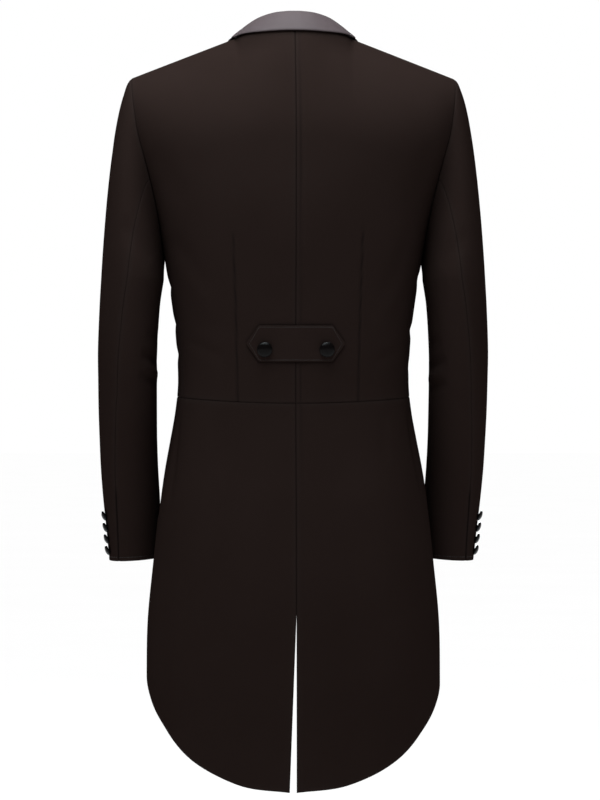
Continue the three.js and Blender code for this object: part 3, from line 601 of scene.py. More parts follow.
def make_object(name, vertices, faces, material, uv=None, masks=None):
    """A smooth-shaded object from vertices in millimetres, with a UV map in metres and named masks."""
    mesh = bpy.data.meshes.new(name)
    faces = faces if isinstance(faces, list) else faces.tolist()
    mesh.from_pydata((vertices * MILLIMETRE).tolist(), [], faces)
    mesh.polygons.foreach_set("use_smooth", np.ones(len(faces), bool))
    if uv is not None:
        corner = np.empty(len(mesh.loops), np.int32)
        mesh.loops.foreach_get("vertex_index", corner)
        mesh.uv_layers.new(name="cloth").data.foreach_set("uv", (uv[corner] * MILLIMETRE).ravel())
    for mask, values in (masks or {}).items():
        mesh.attributes.new(mask, "FLOAT", "POINT").data.foreach_set("value", values.astype(np.float32))
    mesh.materials.append(material)
    mesh.update()
    return in_scene(name, mesh)


def edge_steps(count, size, fine=None):
    """Shares from 0 to 1: even steps, with closer ones at both ends that round the cloth's edge off.

    A fine stretch, given by its distances from the last edge, gets steps that a stitch line needs.
    """
    near = np.array(ROUNDED_STEPS) / size
    even = np.linspace(0, 1, count + 1)[1:-1]
    even = even[(even > near[-1] * 1.5) & (even < 1 - near[-1] * 1.5)]
    if fine:
        low, high = 1 - fine[1] / size, 1 - fine[0] / size
        even = even[(even < low) | (even > high)]
        even = np.sort(np.concatenate([even, np.linspace(low, high, FINE_STEPS)]))
    return np.concatenate([near, even, 1 - near[::-1]])


def run_lengths(points, axis):
    """Length along the grid's lines from their first point, in one direction of the grid."""
    steps = np.linalg.norm(np.diff(points, axis=axis), axis=-1)
    pad = [(0, 0), (0, 0)]
    pad[axis] = (1, 0)
    return np.pad(np.cumsum(steps, axis=axis), pad)


def cloth_piece(part, points, normals, side, seams=(), hem=None, relief=0.0, slot="cloth", sewn=0.0,
                seam_depth=SEAM_DEPTH, seam_line=SEAM_LINE, wear=1.0, with_pieces=()):
    """A wall of cloth from the grid of its outer face, mirrored for the wearer's right side.

    Seam edges sink along a bell curve. All edges are rounded off by a quarter circle from both faces. At a
    hem the cloth is turned up, so the inner face steps in there. The relief moves the whole wall out. The
    seam mask is painted shade: it darkens the seams, and the darts and other sewn lines that the panel names.
    """
    across, along = run_lengths(points, 1), run_lengths(points, 0)
    gaps = {"start": across, "end": across[:, -1:] - across, "bottom": along, "top": along[-1:] - along}
    far = np.full(across.shape, 1e3)
    seam_gap = np.minimum.reduce([far] + [gaps[edge] for edge in seams])
    edge_gap = np.minimum.reduce(list(gaps.values()))
    moved = relief - seam_depth * bell(seam_gap, SEAM_SPREAD)
    points = points + normals * np.broadcast_to(moved, across.shape)[..., None]
    share = np.clip(1 - edge_gap / EDGE_RADIUS, 0, 1)
    rounding = EDGE_RADIUS * (1 - np.sqrt(1 - share ** 2))
    wall = np.full(across.shape, SATIN if slot == "satin" else CLOTH)
    if hem:
        wall += HEM_EXTRA * ease((HEM_TURN_UP - gaps[hem]) / HEM_STEP)
    outer = points - normals * rounding[..., None]
    inner = points - normals * (wall - rounding)[..., None]
    vertices = np.concatenate([outer.reshape(-1, 3), inner.reshape(-1, 3)]) * (side, 1, 1)
    faces = face_out(vertices, wall_faces(*across.shape))
    uv = np.stack([across, along], -1).reshape(-1, 2)
    half = across.size
    masks = {
        "inside": np.repeat([0.0, 1.0], half),
        "edge": np.tile(wear * bell(edge_gap, EDGE_WEAR_SPREAD).ravel(), 2),
        # Painted shade: the seams and sewn lines darkened where their hollows would be shaded
        "seam": np.tile(np.maximum(seam_line * bell(seam_gap, SEAM_LINE_SPREAD), sewn).ravel(), 2),
    }
    piece = make_object(f"{part}_{slot}", vertices, faces, satin if slot == "satin" else wool,
                        np.concatenate([uv, uv]), masks)
    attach(piece, "root")
    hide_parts(part)
    return piece


def creases(rows, across, along):
    """Sum of soft troughs and ridges. Each row runs between two places of the cloth, in millimetres, and
    its height falls off as a bell curve beside that line and eases to nothing at both ends.
    """
    total = np.zeros(np.broadcast(across, along).shape)
    for across_1, along_1, across_2, along_2, height, spread in rows:
        run = np.array([across_2 - across_1, along_2 - along_1], float)
        share = ((across - across_1) * run[0] + (along - along_1) * run[1]) / (run @ run)
        t = np.clip(share, 0, 1)
        gap = np.hypot(across - mix(across_1, across_2, t), along - mix(along_1, along_2, t))
        total += height * bell(gap, spread) * (4 * t * (1 - t)) ** CREASE_END_POWER
    return total * CREASE_FULLNESS


def dart(line, x, height):
    """A dart, from 0 to 1: a bell curve beside a line of places and heights, which fades in at its top."""
    share = ease((line["height"][0] - height) / DART_FADE)
    return share * bell(x - read(line, "height", "x", height), DART_SPREAD)


def belt_outline(x):
    """Half the depth of the half-belt at a place: straight edges, then points at both ends."""
    point_length = BELT_HALF_LENGTH - BELT_STRAIGHT_HALF_LENGTH
    past = np.clip((np.abs(x) - BELT_STRAIGHT_HALF_LENGTH) / point_length, 0, 1)
    return BELT_HALF_DEPTH * mix(1, BELT_POINT_SHARE, past)


def belt_line(x, height):
    """The line that the sewn half-belt presses into the back, from 0 to 1: a bell curve just outside its
    outline, deeper along the lower edge, and none past its points. It is also painted dark: a painted shadow
    of the belt, darkest under its lower edge.
    """
    rise = height - BELT_HEIGHT
    gap = np.abs(rise) - belt_outline(x)
    within = ease((BELT_HALF_LENGTH + 1 - np.abs(x)) / BELT_LINE_FADE)
    side = np.where(rise > 0, BELT_LINES[1], BELT_LINES[-1])
    return side * within * bell(np.maximum(gap, 0), BELT_LINE_SPREAD)


def allowance_line(points, side):
    """The pressed edge of the seam allowance under the wearer's right back and skirt, from 0 to 1: a bell
    curve at an even distance from the centre seam and the vent. Its line is also painted as shade.
    """
    beside = np.abs(points[..., 0] - points[:, :1, 0])
    return bell(beside - ALLOWANCE_WIDTH, ALLOWANCE_SPREAD) if side < 0 else 0 * beside


# Body panels
def body_patch(bottom, top, start, end, columns, rows, width, length):
    """Both coordinates of a four-sided patch: blended from opposite sides, less the blend of the corners.

    A sewn panel's edges meet its neighbour's, so that no light comes through the seams.
    """
    u = edge_steps(columns, width)[None, :]
    v = edge_steps(rows, length)[:, None]
    blended = []
    for k in range(2):
        between = mix(bottom(u)[k], top(u)[k], v) + mix(start(v)[k], end(v)[k], u)
        corners = mix(mix(bottom(0)[k], bottom(1)[k], u), mix(top(0)[k], top(1)[k], u), v)
        blended.append(between - corners)
    return blended


def body_grid(angle, height, side):
    """Points and outward normals of the body's face at the patch's angles and heights."""
    points, normals = body_point(angle, height), body_normal(angle, height)
    return points + normals * lap_shift(points, side)[..., None], normals


NECK_POINT_ANGLE = float(body_angle(NECK_HALF_WIDTH, NECK_POINT_HEIGHT, False))


def side_edge(waist_angle, corner_turn, last_turn):
    """A panel's edge up its side seam from the waist, then round the armhole to the shoulder."""
    corner_angle, corner_height = tucked_armhole(corner_turn)

    def edge(v):
        low, past = v / CORNER_SHARE, np.clip((v - CORNER_SHARE) / (1 - CORNER_SHARE), 0, 1)
        hole = tucked_armhole(mix(corner_turn, last_turn, past))
        angle = np.where(low <= 1, mix(waist_angle, corner_angle, low), hole[0])
        return angle, np.where(low <= 1, mix(waist_height(waist_angle), corner_height, low), hole[1])

    return edge


def back_panel(side):
    """A back: centre seam to side seam, up to the neck and shoulder, with a dart from the armhole down."""
    shoulder_angle = tucked_armhole(0)[0]

    def top(u):
        angle = np.where(u < NECK_SHARE, NECK_POINT_ANGLE * u / NECK_SHARE,
                         mix(NECK_POINT_ANGLE, shoulder_angle, (u - NECK_SHARE) / (1 - NECK_SHARE)))
        return angle, shoulder_height(angle)

    angle, height = body_patch(
        bottom=lambda u: (BACK_SEAM_WAIST_ANGLE * u, waist_height(BACK_SEAM_WAIST_ANGLE * u)),
        top=top,
        start=lambda v: (0 * v, mix(waist_height(0), NAPE_HEIGHT, v)),
        end=side_edge(BACK_SEAM_WAIST_ANGLE, BACK_CORNER_TURN, 0),
        columns=88, rows=150, width=170, length=500)
    points, normals = body_grid(angle, height, 0)
    x = points[..., 0]
    sewn, pressed = dart(BACK_DARTS[side], x, height), belt_line(x, height)
    allowance = allowance_line(points, side)
    relief = creases(BACK_CREASES[side], x, height) - DART_DEPTH * sewn - BELT_LINE_GROOVE * pressed
    relief = relief - ALLOWANCE_DEPTH * allowance
    # Painted shade along the darts and the allowance, and the painted shadow round the half-belt
    lines = np.maximum.reduce([DART_LINE * sewn, pressed, ALLOWANCE_LINE * allowance])
    return cloth_piece(f"back_{SIDES[side]}", points, normals, side, WHOLE_EDGE, relief=relief, sewn=lines)


def side_panel(side):
    """A side body: a narrow panel under the arm, between the back's and the front's side seams."""
    back_angle, back_height = tucked_armhole(BACK_CORNER_TURN)
    front_angle, front_height = tucked_armhole(FRONT_CORNER_TURN)

    def waist(u):
        angle = mix(BACK_SEAM_WAIST_ANGLE, FRONT_SEAM_WAIST_ANGLE, u)
        return angle, waist_height(angle)

    def seam(waist_angle, angle, height):
        low = waist_height(waist_angle)
        return lambda v: (mix(waist_angle, angle, v), mix(low, height, v))

    angle, height = body_patch(
        bottom=waist,
        top=lambda u: tucked_armhole(mix(BACK_CORNER_TURN, FRONT_CORNER_TURN, u)),
        start=seam(BACK_SEAM_WAIST_ANGLE, back_angle, back_height),
        end=seam(FRONT_SEAM_WAIST_ANGLE, front_angle, front_height),
        columns=44, rows=90, width=100, length=215)
    points, normals = body_grid(angle, height, 0)
    relief = creases(SIDE_CREASES[side], angle * SIDE_ARC, height)
    return cloth_piece(f"side_{SIDES[side]}", points, normals, side, WHOLE_EDGE, relief=relief)


def front_panel(side):
    """A front: side seam to the roll line and the lapped edge, up to the neck and shoulder."""
    last_angle, neck_angle = front_edge(0)[0], front_edge(1)[0]

    def top(u):
        angle = mix(tucked_armhole(LAST_TURN)[0], neck_angle, u)
        return angle, shoulder_height(angle)

    def bottom(u):
        angle = mix(FRONT_SEAM_WAIST_ANGLE, last_angle, u)
        return angle, waist_height(angle)

    angle, height = body_patch(
        bottom=bottom, top=top, start=side_edge(FRONT_SEAM_WAIST_ANGLE, FRONT_CORNER_TURN, LAST_TURN),
        end=front_edge, columns=76, rows=140, width=170, length=500)
    points, normals = body_grid(angle, height, side)
    x = points[..., 0]
    sewn = dart(FRONT_DART, x, height)
    relief = creases(FRONT_CREASES[side], x, height) - DART_DEPTH * sewn
    # The dart's line is painted shade
    return cloth_piece(f"front_{SIDES[side]}", points, normals, side, ("start", "bottom", "top"),
                       relief=relief, sewn=DART_LINE * sewn)


def vent_angle(height, side):
    """Angle of the skirt's centre back edge, which opens below the vent's top."""
    share = np.clip((VENT_TOP_HEIGHT - height) / (VENT_TOP_HEIGHT - HEM["height"][0]), 0, 1)
    return np.degrees(np.arcsin(VENT_OPENINGS[side] * share / VENT_HALF_WIDTH))


def skirt_panel(side):
    """A skirt: from the centre back seam and vent round to the cutaway front edge."""
    front_angle = float(front_edge(0)[0])
    hem_height = HEM["height"][0]

    def bottom(u):
        swing = vent_angle(hem_height, side) * np.maximum(1 - u / VENT_SWING_SHARE, 0)
        return read(HEM, "along", "angle", u) + swing, read(HEM, "along", "height", u)

    def start(v):
        height = mix(hem_height, waist_height(0), v)
        return vent_angle(height, side), height

    angle, height = body_patch(
        bottom=bottom,
        top=lambda u: (front_angle * u, waist_height(front_angle * u)),
        start=start,
        end=lambda v: (mix(HEM["angle"][-1], front_angle, v),
                       mix(HEM["height"][-1], waist_height(180), v)),
        columns=150, rows=130, width=520, length=400)
    points, normals = body_grid(angle, height, side)
    hang = ease((waist_height(angle) - height) / FLUTE_FADE)
    relief = creases(SKIRT_CREASES[side], angle * SKIRT_ARC, height)
    flutes = sum(depth * bell(angle - at - lean * (height - FLUTE_HEIGHT), spread)
                 for at, lean, depth, spread in SKIRT_FLUTES[side])
    allowance = allowance_line(points, side)
    relief = relief + flutes * hang - ALLOWANCE_DEPTH * allowance
    # The allowance's line is painted shade
    return cloth_piece(f"skirt_{SIDES[side]}", points, normals, side, ("start", "top"), hem="bottom",
                       relief=relief, sewn=ALLOWANCE_LINE * allowance)


def sleeve_piece(side, part, first_turns, last_turns):
    """A top or under sleeve: between two seams, from the armhole down to the cuff, with its hem stitch."""
    size = SLEEVE_WIDTHS[part]
    u = edge_steps(SLEEVE_COLUMNS[part], size)[None, :]
    fine = CUFF_STITCH_RISE - STITCH_ROW_HALF_WIDTH, CUFF_STITCH_RISE + STITCH_ROW_HALF_WIDTH
    share = edge_steps(140, SLEEVE_LENGTH, fine)[:, None]
    turn = mix(mix(first_turns[0], last_turns[0], u), mix(first_turns[1], last_turns[1], u), share)
    points, normals = sleeve_point(turn, share), sleeve_normal(turn, share)
    height = points[..., 2]
    vent = ease((CUFF_VENT_TOP - height) / CUFF_VENT_FADE)
    edge = u * size if part == "under" else (1 - u) * size
    # The cuff vent: a groove, and painted shade along it
    line = vent * bell(edge, CUFF_VENT_SPREAD)
    rise = (1 - share) / (1 - SLEEVE_HEAD_SHARE) * (SLEEVE_TOP - CUFF_HEIGHT)
    groove = CUFF_VENT_DEPTH * line + STITCH_DEPTH * bell(rise - CUFF_STITCH_RISE, STITCH_SPREAD)
    folds = sum(creases(SLEEVE_CREASES[side], (turn % 1 - lap) * SLEEVE_ROUND, height) for lap in (0, 1))
    relief = folds - groove
    return cloth_piece(f"sleeve_{part}_{SIDES[side]}", points, normals, side, ("start", "end", "bottom"),
                       hem="top", relief=relief, sewn=line, seam_depth=SLEEVE_SEAM_DEPTH,
                       seam_line=SLEEVE_SEAM_LINE, with_pieces=[cuff_stitching(side, part)])


# Collar, lapels and half-belt
def on_body(x, height, is_front, lift=0):
    """Points of the back or front at places x and heights, moved out by the lift, and the normals there."""
    angle = body_angle(x, height, is_front)
    normals = body_normal(angle, height)
    return body_point(angle, height) + normals * lift, normals


def spline(controls, samples):
    """A smooth curve through control points, evenly sampled: each stretch is a cubic whose slope at a
    point is half the step between the points beside it. The controls run along the first axis.
    """
    count = len(controls)
    place = np.linspace(0, count - 1, samples)
    i = np.clip(place.astype(int), 0, count - 2)
    t = (place - i)[:, None, None]
    slope = np.gradient(controls, axis=0)
    a, b, ma, mb = controls[i], controls[i + 1], slope[i], slope[i + 1]
    return (a * (1 + 2 * t) * (1 - t) ** 2 + ma * t * (1 - t) ** 2
            + b * t ** 2 * (3 - 2 * t) + mb * t ** 2 * (t - 1))


def collar():
    """The collar: a strip folded over at the roll line, with the stand inside and the fall outside, carried
    round the neck. Its normals come from the steps to the grid's neighbours on both sides.
    """
    along = np.linspace(-1, 1, COLLAR_COLUMNS)
    mirror = np.where(along < 0, -1, 1)[:, None] * np.array([1, 0, 0]) + np.array([0, 1, 1])
    values = {name: read(COLLAR, "along", name, np.abs(along)) for name in COLLAR}
    at_back = (np.abs(along) < 0.5)[:, None]

    def place(x, z, lift):
        z = np.minimum(z, top_height(x))
        return np.where(at_back, on_body(x, z, False, lift)[0], on_body(x, z, True, lift)[0])

    seam = place(values["seam_x"], values["seam_z"], 0.0) + (0, 0, COLLAR_SEAM_RISE)
    roll = np.stack([values["roll_x"], values["roll_y"], values["roll_z"]], -1)
    edge = place(values["edge_x"], values["edge_z"], SATIN + COLLAR_LIFT)
    outward = unit((edge - roll) * (1, 1, 0))
    controls = np.stack([
        seam,
        mix(roll, seam, 0.5),
        mix(roll, seam, 0.1),
        roll + outward * COLLAR_CROWN_OUT + (0, 0, COLLAR_CROWN_RISE),
        mix(roll, edge, 0.1) + outward * COLLAR_FALL_OUT,
        mix(roll, edge, 0.5) + outward * COLLAR_MIDDLE_OUT,
        edge,
    ])
    grid = spline(controls * mirror, COLLAR_ROWS)
    normals = unit(np.cross(np.gradient(grid, axis=1), np.gradient(grid, axis=0)))
    return cloth_piece("collar", grid, normals, 1, slot="satin")


def lapel(side):
    """A lapel: satin on the front, from the roll line to its outer edge, peaked at the top.

    A patch is blended from its edges in places x and heights, then laid on the front.
    """
    bottom_height = BREAK_HEIGHT + LAPEL_BOTTOM_RISE

    def start(v):
        height = mix(bottom_height, LAPEL_TOP["height"][0], v)
        return roll_line_x(height) + LAPEL_ROLL_GAP, height

    x, height = body_patch(
        bottom=lambda u: [mix(start(0)[k], LAPEL_OUTER[key][0], u) for k, key in enumerate(("x", "height"))],
        top=lambda u: [read(LAPEL_TOP, "along", key, u) for key in ("x", "height")],
        start=start,
        end=lambda v: [read(LAPEL_OUTER, "along", key, v) for key in ("x", "height")],
        columns=50, rows=110, width=80, length=400)
    points, normals = on_body(x, height, True)
    lift = LAPEL_LIFT + SATIN + lap_shift(points, side)
    points = points + normals * lift[..., None]
    return cloth_piece(f"lapel_{SIDES[side]}", points, normals, side, slot="satin")


def half_belt():
    """The half-belt: a band with straight edges and a pointed end each way, laid on the back."""
    x = mix(-BELT_HALF_LENGTH, BELT_HALF_LENGTH, edge_steps(110, 2 * BELT_HALF_LENGTH))[None, :]
    step = mix(-1, 1, edge_steps(44, 2 * BELT_HALF_DEPTH))[:, None]
    height = BELT_HEIGHT + belt_outline(x) * step
    points, normals = on_body(x, height, False, BELT_LIFT + CLOTH)
    return cloth_piece("half_belt", points, normals, 1, wear=BELT_EDGE_WEAR,
                       with_pieces=[belt_stitching()])


def button(name, shape, seat, outward):
    """A cloth-covered button: a domed profile turned about its axis, on a narrow shank at its seat."""
    radius, rise, shank, shank_radius = (shape[k] for k in ("radius", "rise", "shank", "shank_radius"))
    dome = np.linspace(0, np.pi / 2, 16)
    dome_rise = shank + rise * mix(BUTTON_LIP, 1, np.sin(dome) ** 1.25)
    dome_profile = np.stack([radius * np.cos(dome) ** 0.9, dome_rise], -1)
    rim = np.linspace(0, np.pi / 2, 6)
    rim_radius = radius * mix(BUTTON_BASE, 1, np.sin(rim))
    rim_profile = np.stack([rim_radius, shank + rise * BUTTON_LIP * (1 - np.cos(rim))], -1)
    stem = np.array([(shank_radius, 0), (shank_radius, shank * 0.5), (shank_radius, shank)])
    profile = np.concatenate([stem, rim_profile[:-1], dome_profile[:-1]])
    turns = np.linspace(0, 2 * np.pi, BUTTON_SIDES, endpoint=False)
    ring = np.stack([np.cos(turns), np.sin(turns)], -1)
    body = np.concatenate([profile[:, None, :1] * ring, np.repeat(profile[:, 1:, None], BUTTON_SIDES, 1)], -1)
    first = np.cross(outward, (0, 0, 1.0))
    first /= np.linalg.norm(first)
    axes = np.stack([first, np.cross(outward, first), outward])
    rows = len(profile)
    vertices = np.concatenate([body.reshape(-1, 3), [(0, 0, 0), (0, 0, shank + rise)]]) @ axes
    last = rows * BUTTON_SIDES
    index = np.arange(last).reshape(rows, BUTTON_SIDES)
    around = np.roll(index, -1, axis=1)
    sides = np.stack([index[:-1], around[:-1], around[1:], index[1:]], -1).reshape(-1, 4)
    base = np.stack([around[0], index[0], 0 * index[0] + last], -1)
    crown = np.stack([index[-1], around[-1], 0 * index[0] + last + 1], -1)
    faces = sides.tolist() + base.tolist() + crown.tolist()
    piece = make_object(name + "_cover", vertices + seat, faces, covered)
    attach(piece, "root")
    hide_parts(name)
    return piece


# Thread
def stitches(name, points, outward, spacing, length, width):
    """A run of stitches along a line of points: each is a short closed bead, six-sided and pointed at its
    ends, that lies along the line with its belly half in the cloth.
    """
    run = run_lengths(points[None], 1)[0]
    count = int(run[-1] / spacing)
    at = (np.arange(count) + 0.5) * run[-1] / count

    def along(values, place):
        return np.stack([np.interp(place, run, values[:, k]) for k in range(3)], -1)

    centre, up = along(points, at), unit(along(outward, at))
    ahead = unit(along(points, at + length / 2) - along(points, at - length / 2))
    across = unit(np.cross(up, ahead))
    steps = np.array([-1, -0.7, 0, 0.7, 1])
    girth = np.array([0.15, 0.8, 1, 0.8, 0.15])
    turns = np.arange(6) * np.pi / 3
    ring = across[:, None, None] * np.cos(turns)[:, None] + up[:, None, None] * 0.7 * np.sin(turns)[:, None]
    beads = (centre[:, None, None] + ahead[:, None, None] * (steps * length / 2)[:, None, None]
             + ring * (girth * width / 2)[:, None, None])
    index = np.arange(count * 30).reshape(count, 5, 6)
    around = np.roll(index, -1, axis=2)
    sides = np.stack([index[:, :-1], index[:, 1:], around[:, 1:], around[:, :-1]], -1).reshape(-1, 4)
    first, last = index[:, 0, ::-1].reshape(-1, 6), index[:, -1].reshape(-1, 6)
    faces = sides[:, ::-1].tolist() + first[:, ::-1].tolist() + last[:, ::-1].tolist()
    piece = make_object(name, beads.reshape(-1, 3), faces, thread)
    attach(piece, "root")
    return piece


# Materials
WOOL_DEEP = (0.0090, 0.0053, 0.0045, 1)
WOOL_LIGHT = (0.0150, 0.0094, 0.0083, 1)
WOOL_EDGE = (0.0155, 0.0110, 0.0100, 1)
# Painted shade for the seams' hollows and the sewn lines
PAINTED_SEAM_SHADE = (0.004, 0.003, 0.003, 1)
LINING = (0.010, 0.008, 0.008, 1)
# Satin colours: the dark satin's own colour raised by a painted sheen
SATIN_DEEP = (0.042, 0.0310, 0.0328, 1)
SATIN_LIGHT = (0.056, 0.0415, 0.0436, 1)
COVER_DEEP = (0.0016, 0.0012, 0.0012, 1)
COVER_LIGHT = (0.0034, 0.0026, 0.0026, 1)
THREAD_DEEP = (0.010, 0.008, 0.008, 1)
THREAD_LIGHT = (0.022, 0.018, 0.018, 1)
FLOOR_DEEP = (0.93, 0.93, 0.93, 1)
FLOOR_LIGHT = (0.95, 0.95, 0.95, 1)


def node(tree, kind, values=None, **settings):
    """A node in a tree, with its own settings, and numbers or other nodes' sockets for its inputs."""
    made = tree.nodes.new(kind)
    for key, value in settings.items():
        setattr(made, key, value)
    for key, value in (values or {}).items():
        if isinstance(value, bpy.types.NodeSocket):
            tree.links.new(value, made.inputs[key])
        else:
            made.inputs[key].default_value = value
    return made


def sums(tree, operation, *values):
    """The output of a Math node."""
    return node(tree, "ShaderNodeMath", dict(enumerate(values)), operation=operation).outputs[0]


def blend_colours(tree, share, first, last):
    """The output of a colour mix."""
    return node(tree, "ShaderNodeMix", {0: share, 6: first, 7: last}, data_type="RGBA").outputs[2]


def shader_group(name, inputs, outputs):
    """An empty node group with named inputs and outputs, and its two end nodes."""
    group = bpy.data.node_groups.new(name, "ShaderNodeTree")
    for socket, kind, value in inputs:
        made = group.interface.new_socket(socket, in_out="INPUT", socket_type=kind)
        if value is not None:
            made.default_value = value
    for socket in outputs:
        group.interface.new_socket(socket, in_out="OUTPUT", socket_type="NodeSocketFloat")
    return group, group.nodes.new("NodeGroupInput").outputs, group.nodes.new("NodeGroupOutput").inputs


def weave_group():
    """Twill: diagonal ribs with a finer rib across them, as a height and a shade from 0 to 1."""
    group, given, result = shader_group(
        "Twill weave", [("Vector", "NodeSocketVector", None), ("Ribs", "NodeSocketFloat", 1400.0)],
        ["Height", "Shade"])
    parts = node(group, "ShaderNodeSeparateXYZ", {0: given["Vector"]}).outputs
    turns = sums(group, "MULTIPLY", given["Ribs"], 2 * math.pi)
    rib = sums(group, "SINE", sums(group, "MULTIPLY", sums(group, "ADD", parts[0], parts[1]), turns))
    cross = sums(group, "SINE", sums(group, "MULTIPLY", sums(group, "SUBTRACT", parts[0], parts[1]), turns))
    both = sums(group, "MULTIPLY_ADD", cross, 0.35, rib)
    height = sums(group, "MULTIPLY_ADD", both, 0.37, 0.5)
    group.links.new(height, result["Height"])
    group.links.new(sums(group, "SMOOTH_MIN", height, 1.0, 0.2), result["Shade"])
    return group


def nap_group():
    """The cloth's surface: broad soft clouds where it is brushed, and fine fibres, from 0 to 1."""
    group, given, result = shader_group(
        "Brushed nap", [("Vector", "NodeSocketVector", None), ("Clouds", "NodeSocketFloat", 7.0),
                        ("Fibres", "NodeSocketFloat", 900.0)],
        ["Cloud", "Fibre"])
    for scale, made, detail, rough in (("Clouds", "Cloud", 3.0, 0.5), ("Fibres", "Fibre", 2.0, 0.7)):
        noise = node(group, "ShaderNodeTexNoise", {"Vector": given["Vector"], "Scale": given[scale],
                                                   "Detail": detail, "Roughness": rough})
        group.links.new(noise.outputs["Fac"], result[made])
    return group


def edge_group():
    """Pressed and worn edges: a mask that is high at the edges and lower in the seams' hollows; and painted
    shade, a mask that darkens the seams' hollows.
    """
    group, given, result = shader_group(
        "Worn edge and painted seam shade", [("Edge", "NodeSocketFloat", 0.0), ("Seam", "NodeSocketFloat", 0.0),
                         ("Wear", "NodeSocketFloat", 0.5)],
        ["Light", "Dark"])
    worn = sums(group, "MULTIPLY", given["Edge"], sums(group, "MULTIPLY_ADD", given["Wear"], 0.8, 0.2))
    clear = sums(group, "SUBTRACT", 1.0, given["Seam"])
    group.links.new(sums(group, "MULTIPLY", worn, clear), result["Light"])
    # Painted shade: the seams' hollows darkened as if shaded
    group.links.new(sums(group, "MULTIPLY", given["Seam"], 0.75), result["Dark"])
    return group


def placed(tree, group, values):
    """A node group placed in a material, with its own values."""
    return node(tree, "ShaderNodeGroup", values, node_tree=group).outputs


def new_material(name, specular=None):
    """A material with a Principled shader and its own specular level; returns it, its tree, the shader's
    inputs and the place on the object.
    """
    material = bpy.data.materials.new(name)
    material.use_nodes = True
    inputs = material.node_tree.nodes["Principled BSDF"].inputs
    if specular is not None:
        inputs["Specular IOR Level"].default_value = specular
    place = node(material.node_tree, "ShaderNodeTexCoord").outputs["Object"]
    return material, material.node_tree, inputs, place


def mask(tree, name):
    """A mask that the pieces carry."""
    return node(tree, "ShaderNodeAttribute", attribute_name=name).outputs["Fac"]


def bumped(tree, inputs, height, strength, distance):
    """Small relief of the cloth on the shader's normal."""
    bump = node(tree, "ShaderNodeBump", {"Height": height, "Strength": strength, "Distance": distance})
    tree.links.new(bump.outputs[0], inputs["Normal"])


def wool_material(weave, nap, edges):
    """Dark worsted: twill ribs and brushed nap outside, pressed edges, painted shade in the seams and sewn
    lines, and a smooth dark lining inside.
    """
    material, tree, inputs, place = new_material("worsted", 0.0)
    uv = node(tree, "ShaderNodeUVMap", uv_map="cloth").outputs[0]
    inside, edge, seam = mask(tree, "inside"), mask(tree, "edge"), mask(tree, "seam")
    ribs = placed(tree, weave, {"Vector": uv, "Ribs": 1100.0})
    brushed = placed(tree, nap, {"Vector": place, "Clouds": 6.0, "Fibres": 1100.0})
    pressed = placed(tree, edges, {"Edge": edge, "Seam": seam, "Wear": brushed["Cloud"]})
    shade = sums(tree, "MULTIPLY_ADD", brushed["Fibre"], 0.35, sums(tree, "MULTIPLY", brushed["Cloud"], 0.65))
    cloth = blend_colours(tree, shade, WOOL_DEEP, WOOL_LIGHT)
    cloth = blend_colours(tree, sums(tree, "MULTIPLY", pressed["Light"], 0.45), cloth, WOOL_EDGE)
    # Painted shade in the seams, darts and allowance, and a painted shadow along the half-belt
    cloth = blend_colours(tree, pressed["Dark"], cloth, PAINTED_SEAM_SHADE)
    tree.links.new(blend_colours(tree, inside, cloth, LINING), inputs["Base Color"])
    rough = sums(tree, "MULTIPLY_ADD", brushed["Fibre"], 0.12, 0.84)
    smooth = sums(tree, "MULTIPLY", inside, -0.34)
    tree.links.new(sums(tree, "ADD", rough, smooth), inputs["Roughness"])
    height = sums(tree, "MULTIPLY_ADD", brushed["Fibre"], 0.6, sums(tree, "MULTIPLY", ribs["Height"], 0.5))
    height = sums(tree, "MULTIPLY", height, sums(tree, "MULTIPLY_ADD", inside, -0.8, 1.0))
    bumped(tree, inputs, height, 0.35, 0.0004)
    return material


def satin_material(weave, nap, edges):
    """Satin with a fine close weave and a soft sheen; its pale base colour is dark satin with a painted
    sheen, and it is a little darker towards its edges.
    """
    material, tree, inputs, place = new_material("satin", 0.05)
    uv = node(tree, "ShaderNodeUVMap", uv_map="cloth").outputs[0]
    ribs = placed(tree, weave, {"Vector": uv, "Ribs": 1900.0})
    brushed = placed(tree, nap, {"Vector": place, "Clouds": 22.0, "Fibres": 700.0})
    pressed = placed(tree, edges, {"Edge": mask(tree, "edge"), "Wear": brushed["Cloud"]})
    shade = sums(tree, "MULTIPLY_ADD", brushed["Fibre"], 0.25, sums(tree, "MULTIPLY", brushed["Cloud"], 0.75))
    colour = blend_colours(tree, shade, SATIN_DEEP, SATIN_LIGHT)
    colour = blend_colours(tree, sums(tree, "MULTIPLY", pressed["Light"], 0.3), colour, SATIN_DEEP)
    tree.links.new(colour, inputs["Base Color"])
    tree.links.new(sums(tree, "MULTIPLY_ADD", brushed["Cloud"], 0.2, 0.42), inputs["Roughness"])
    height = sums(tree, "MULTIPLY_ADD", brushed["Fibre"], 0.4, sums(tree, "MULTIPLY", ribs["Height"], 0.4))
    bumped(tree, inputs, height, 0.2, 0.0003)
    return material


def covered_material(weave, nap):
    """Button cover: tightly drawn dark cloth, with a slight gloss."""
    material, tree, inputs, place = new_material("covered_button", 0.06)
    ribs = placed(tree, weave, {"Vector": place, "Ribs": 900.0})
    brushed = placed(tree, nap, {"Vector": place, "Clouds": 60.0, "Fibres": 1400.0})
    tree.links.new(blend_colours(tree, brushed["Cloud"], COVER_DEEP, COVER_LIGHT), inputs["Base Color"])
    tree.links.new(sums(tree, "MULTIPLY_ADD", brushed["Fibre"], 0.08, 0.12), inputs["Roughness"])
    height = sums(tree, "MULTIPLY_ADD", brushed["Fibre"], 0.4, ribs["Height"])
    bumped(tree, inputs, height, 0.3, 0.0003)
    return material


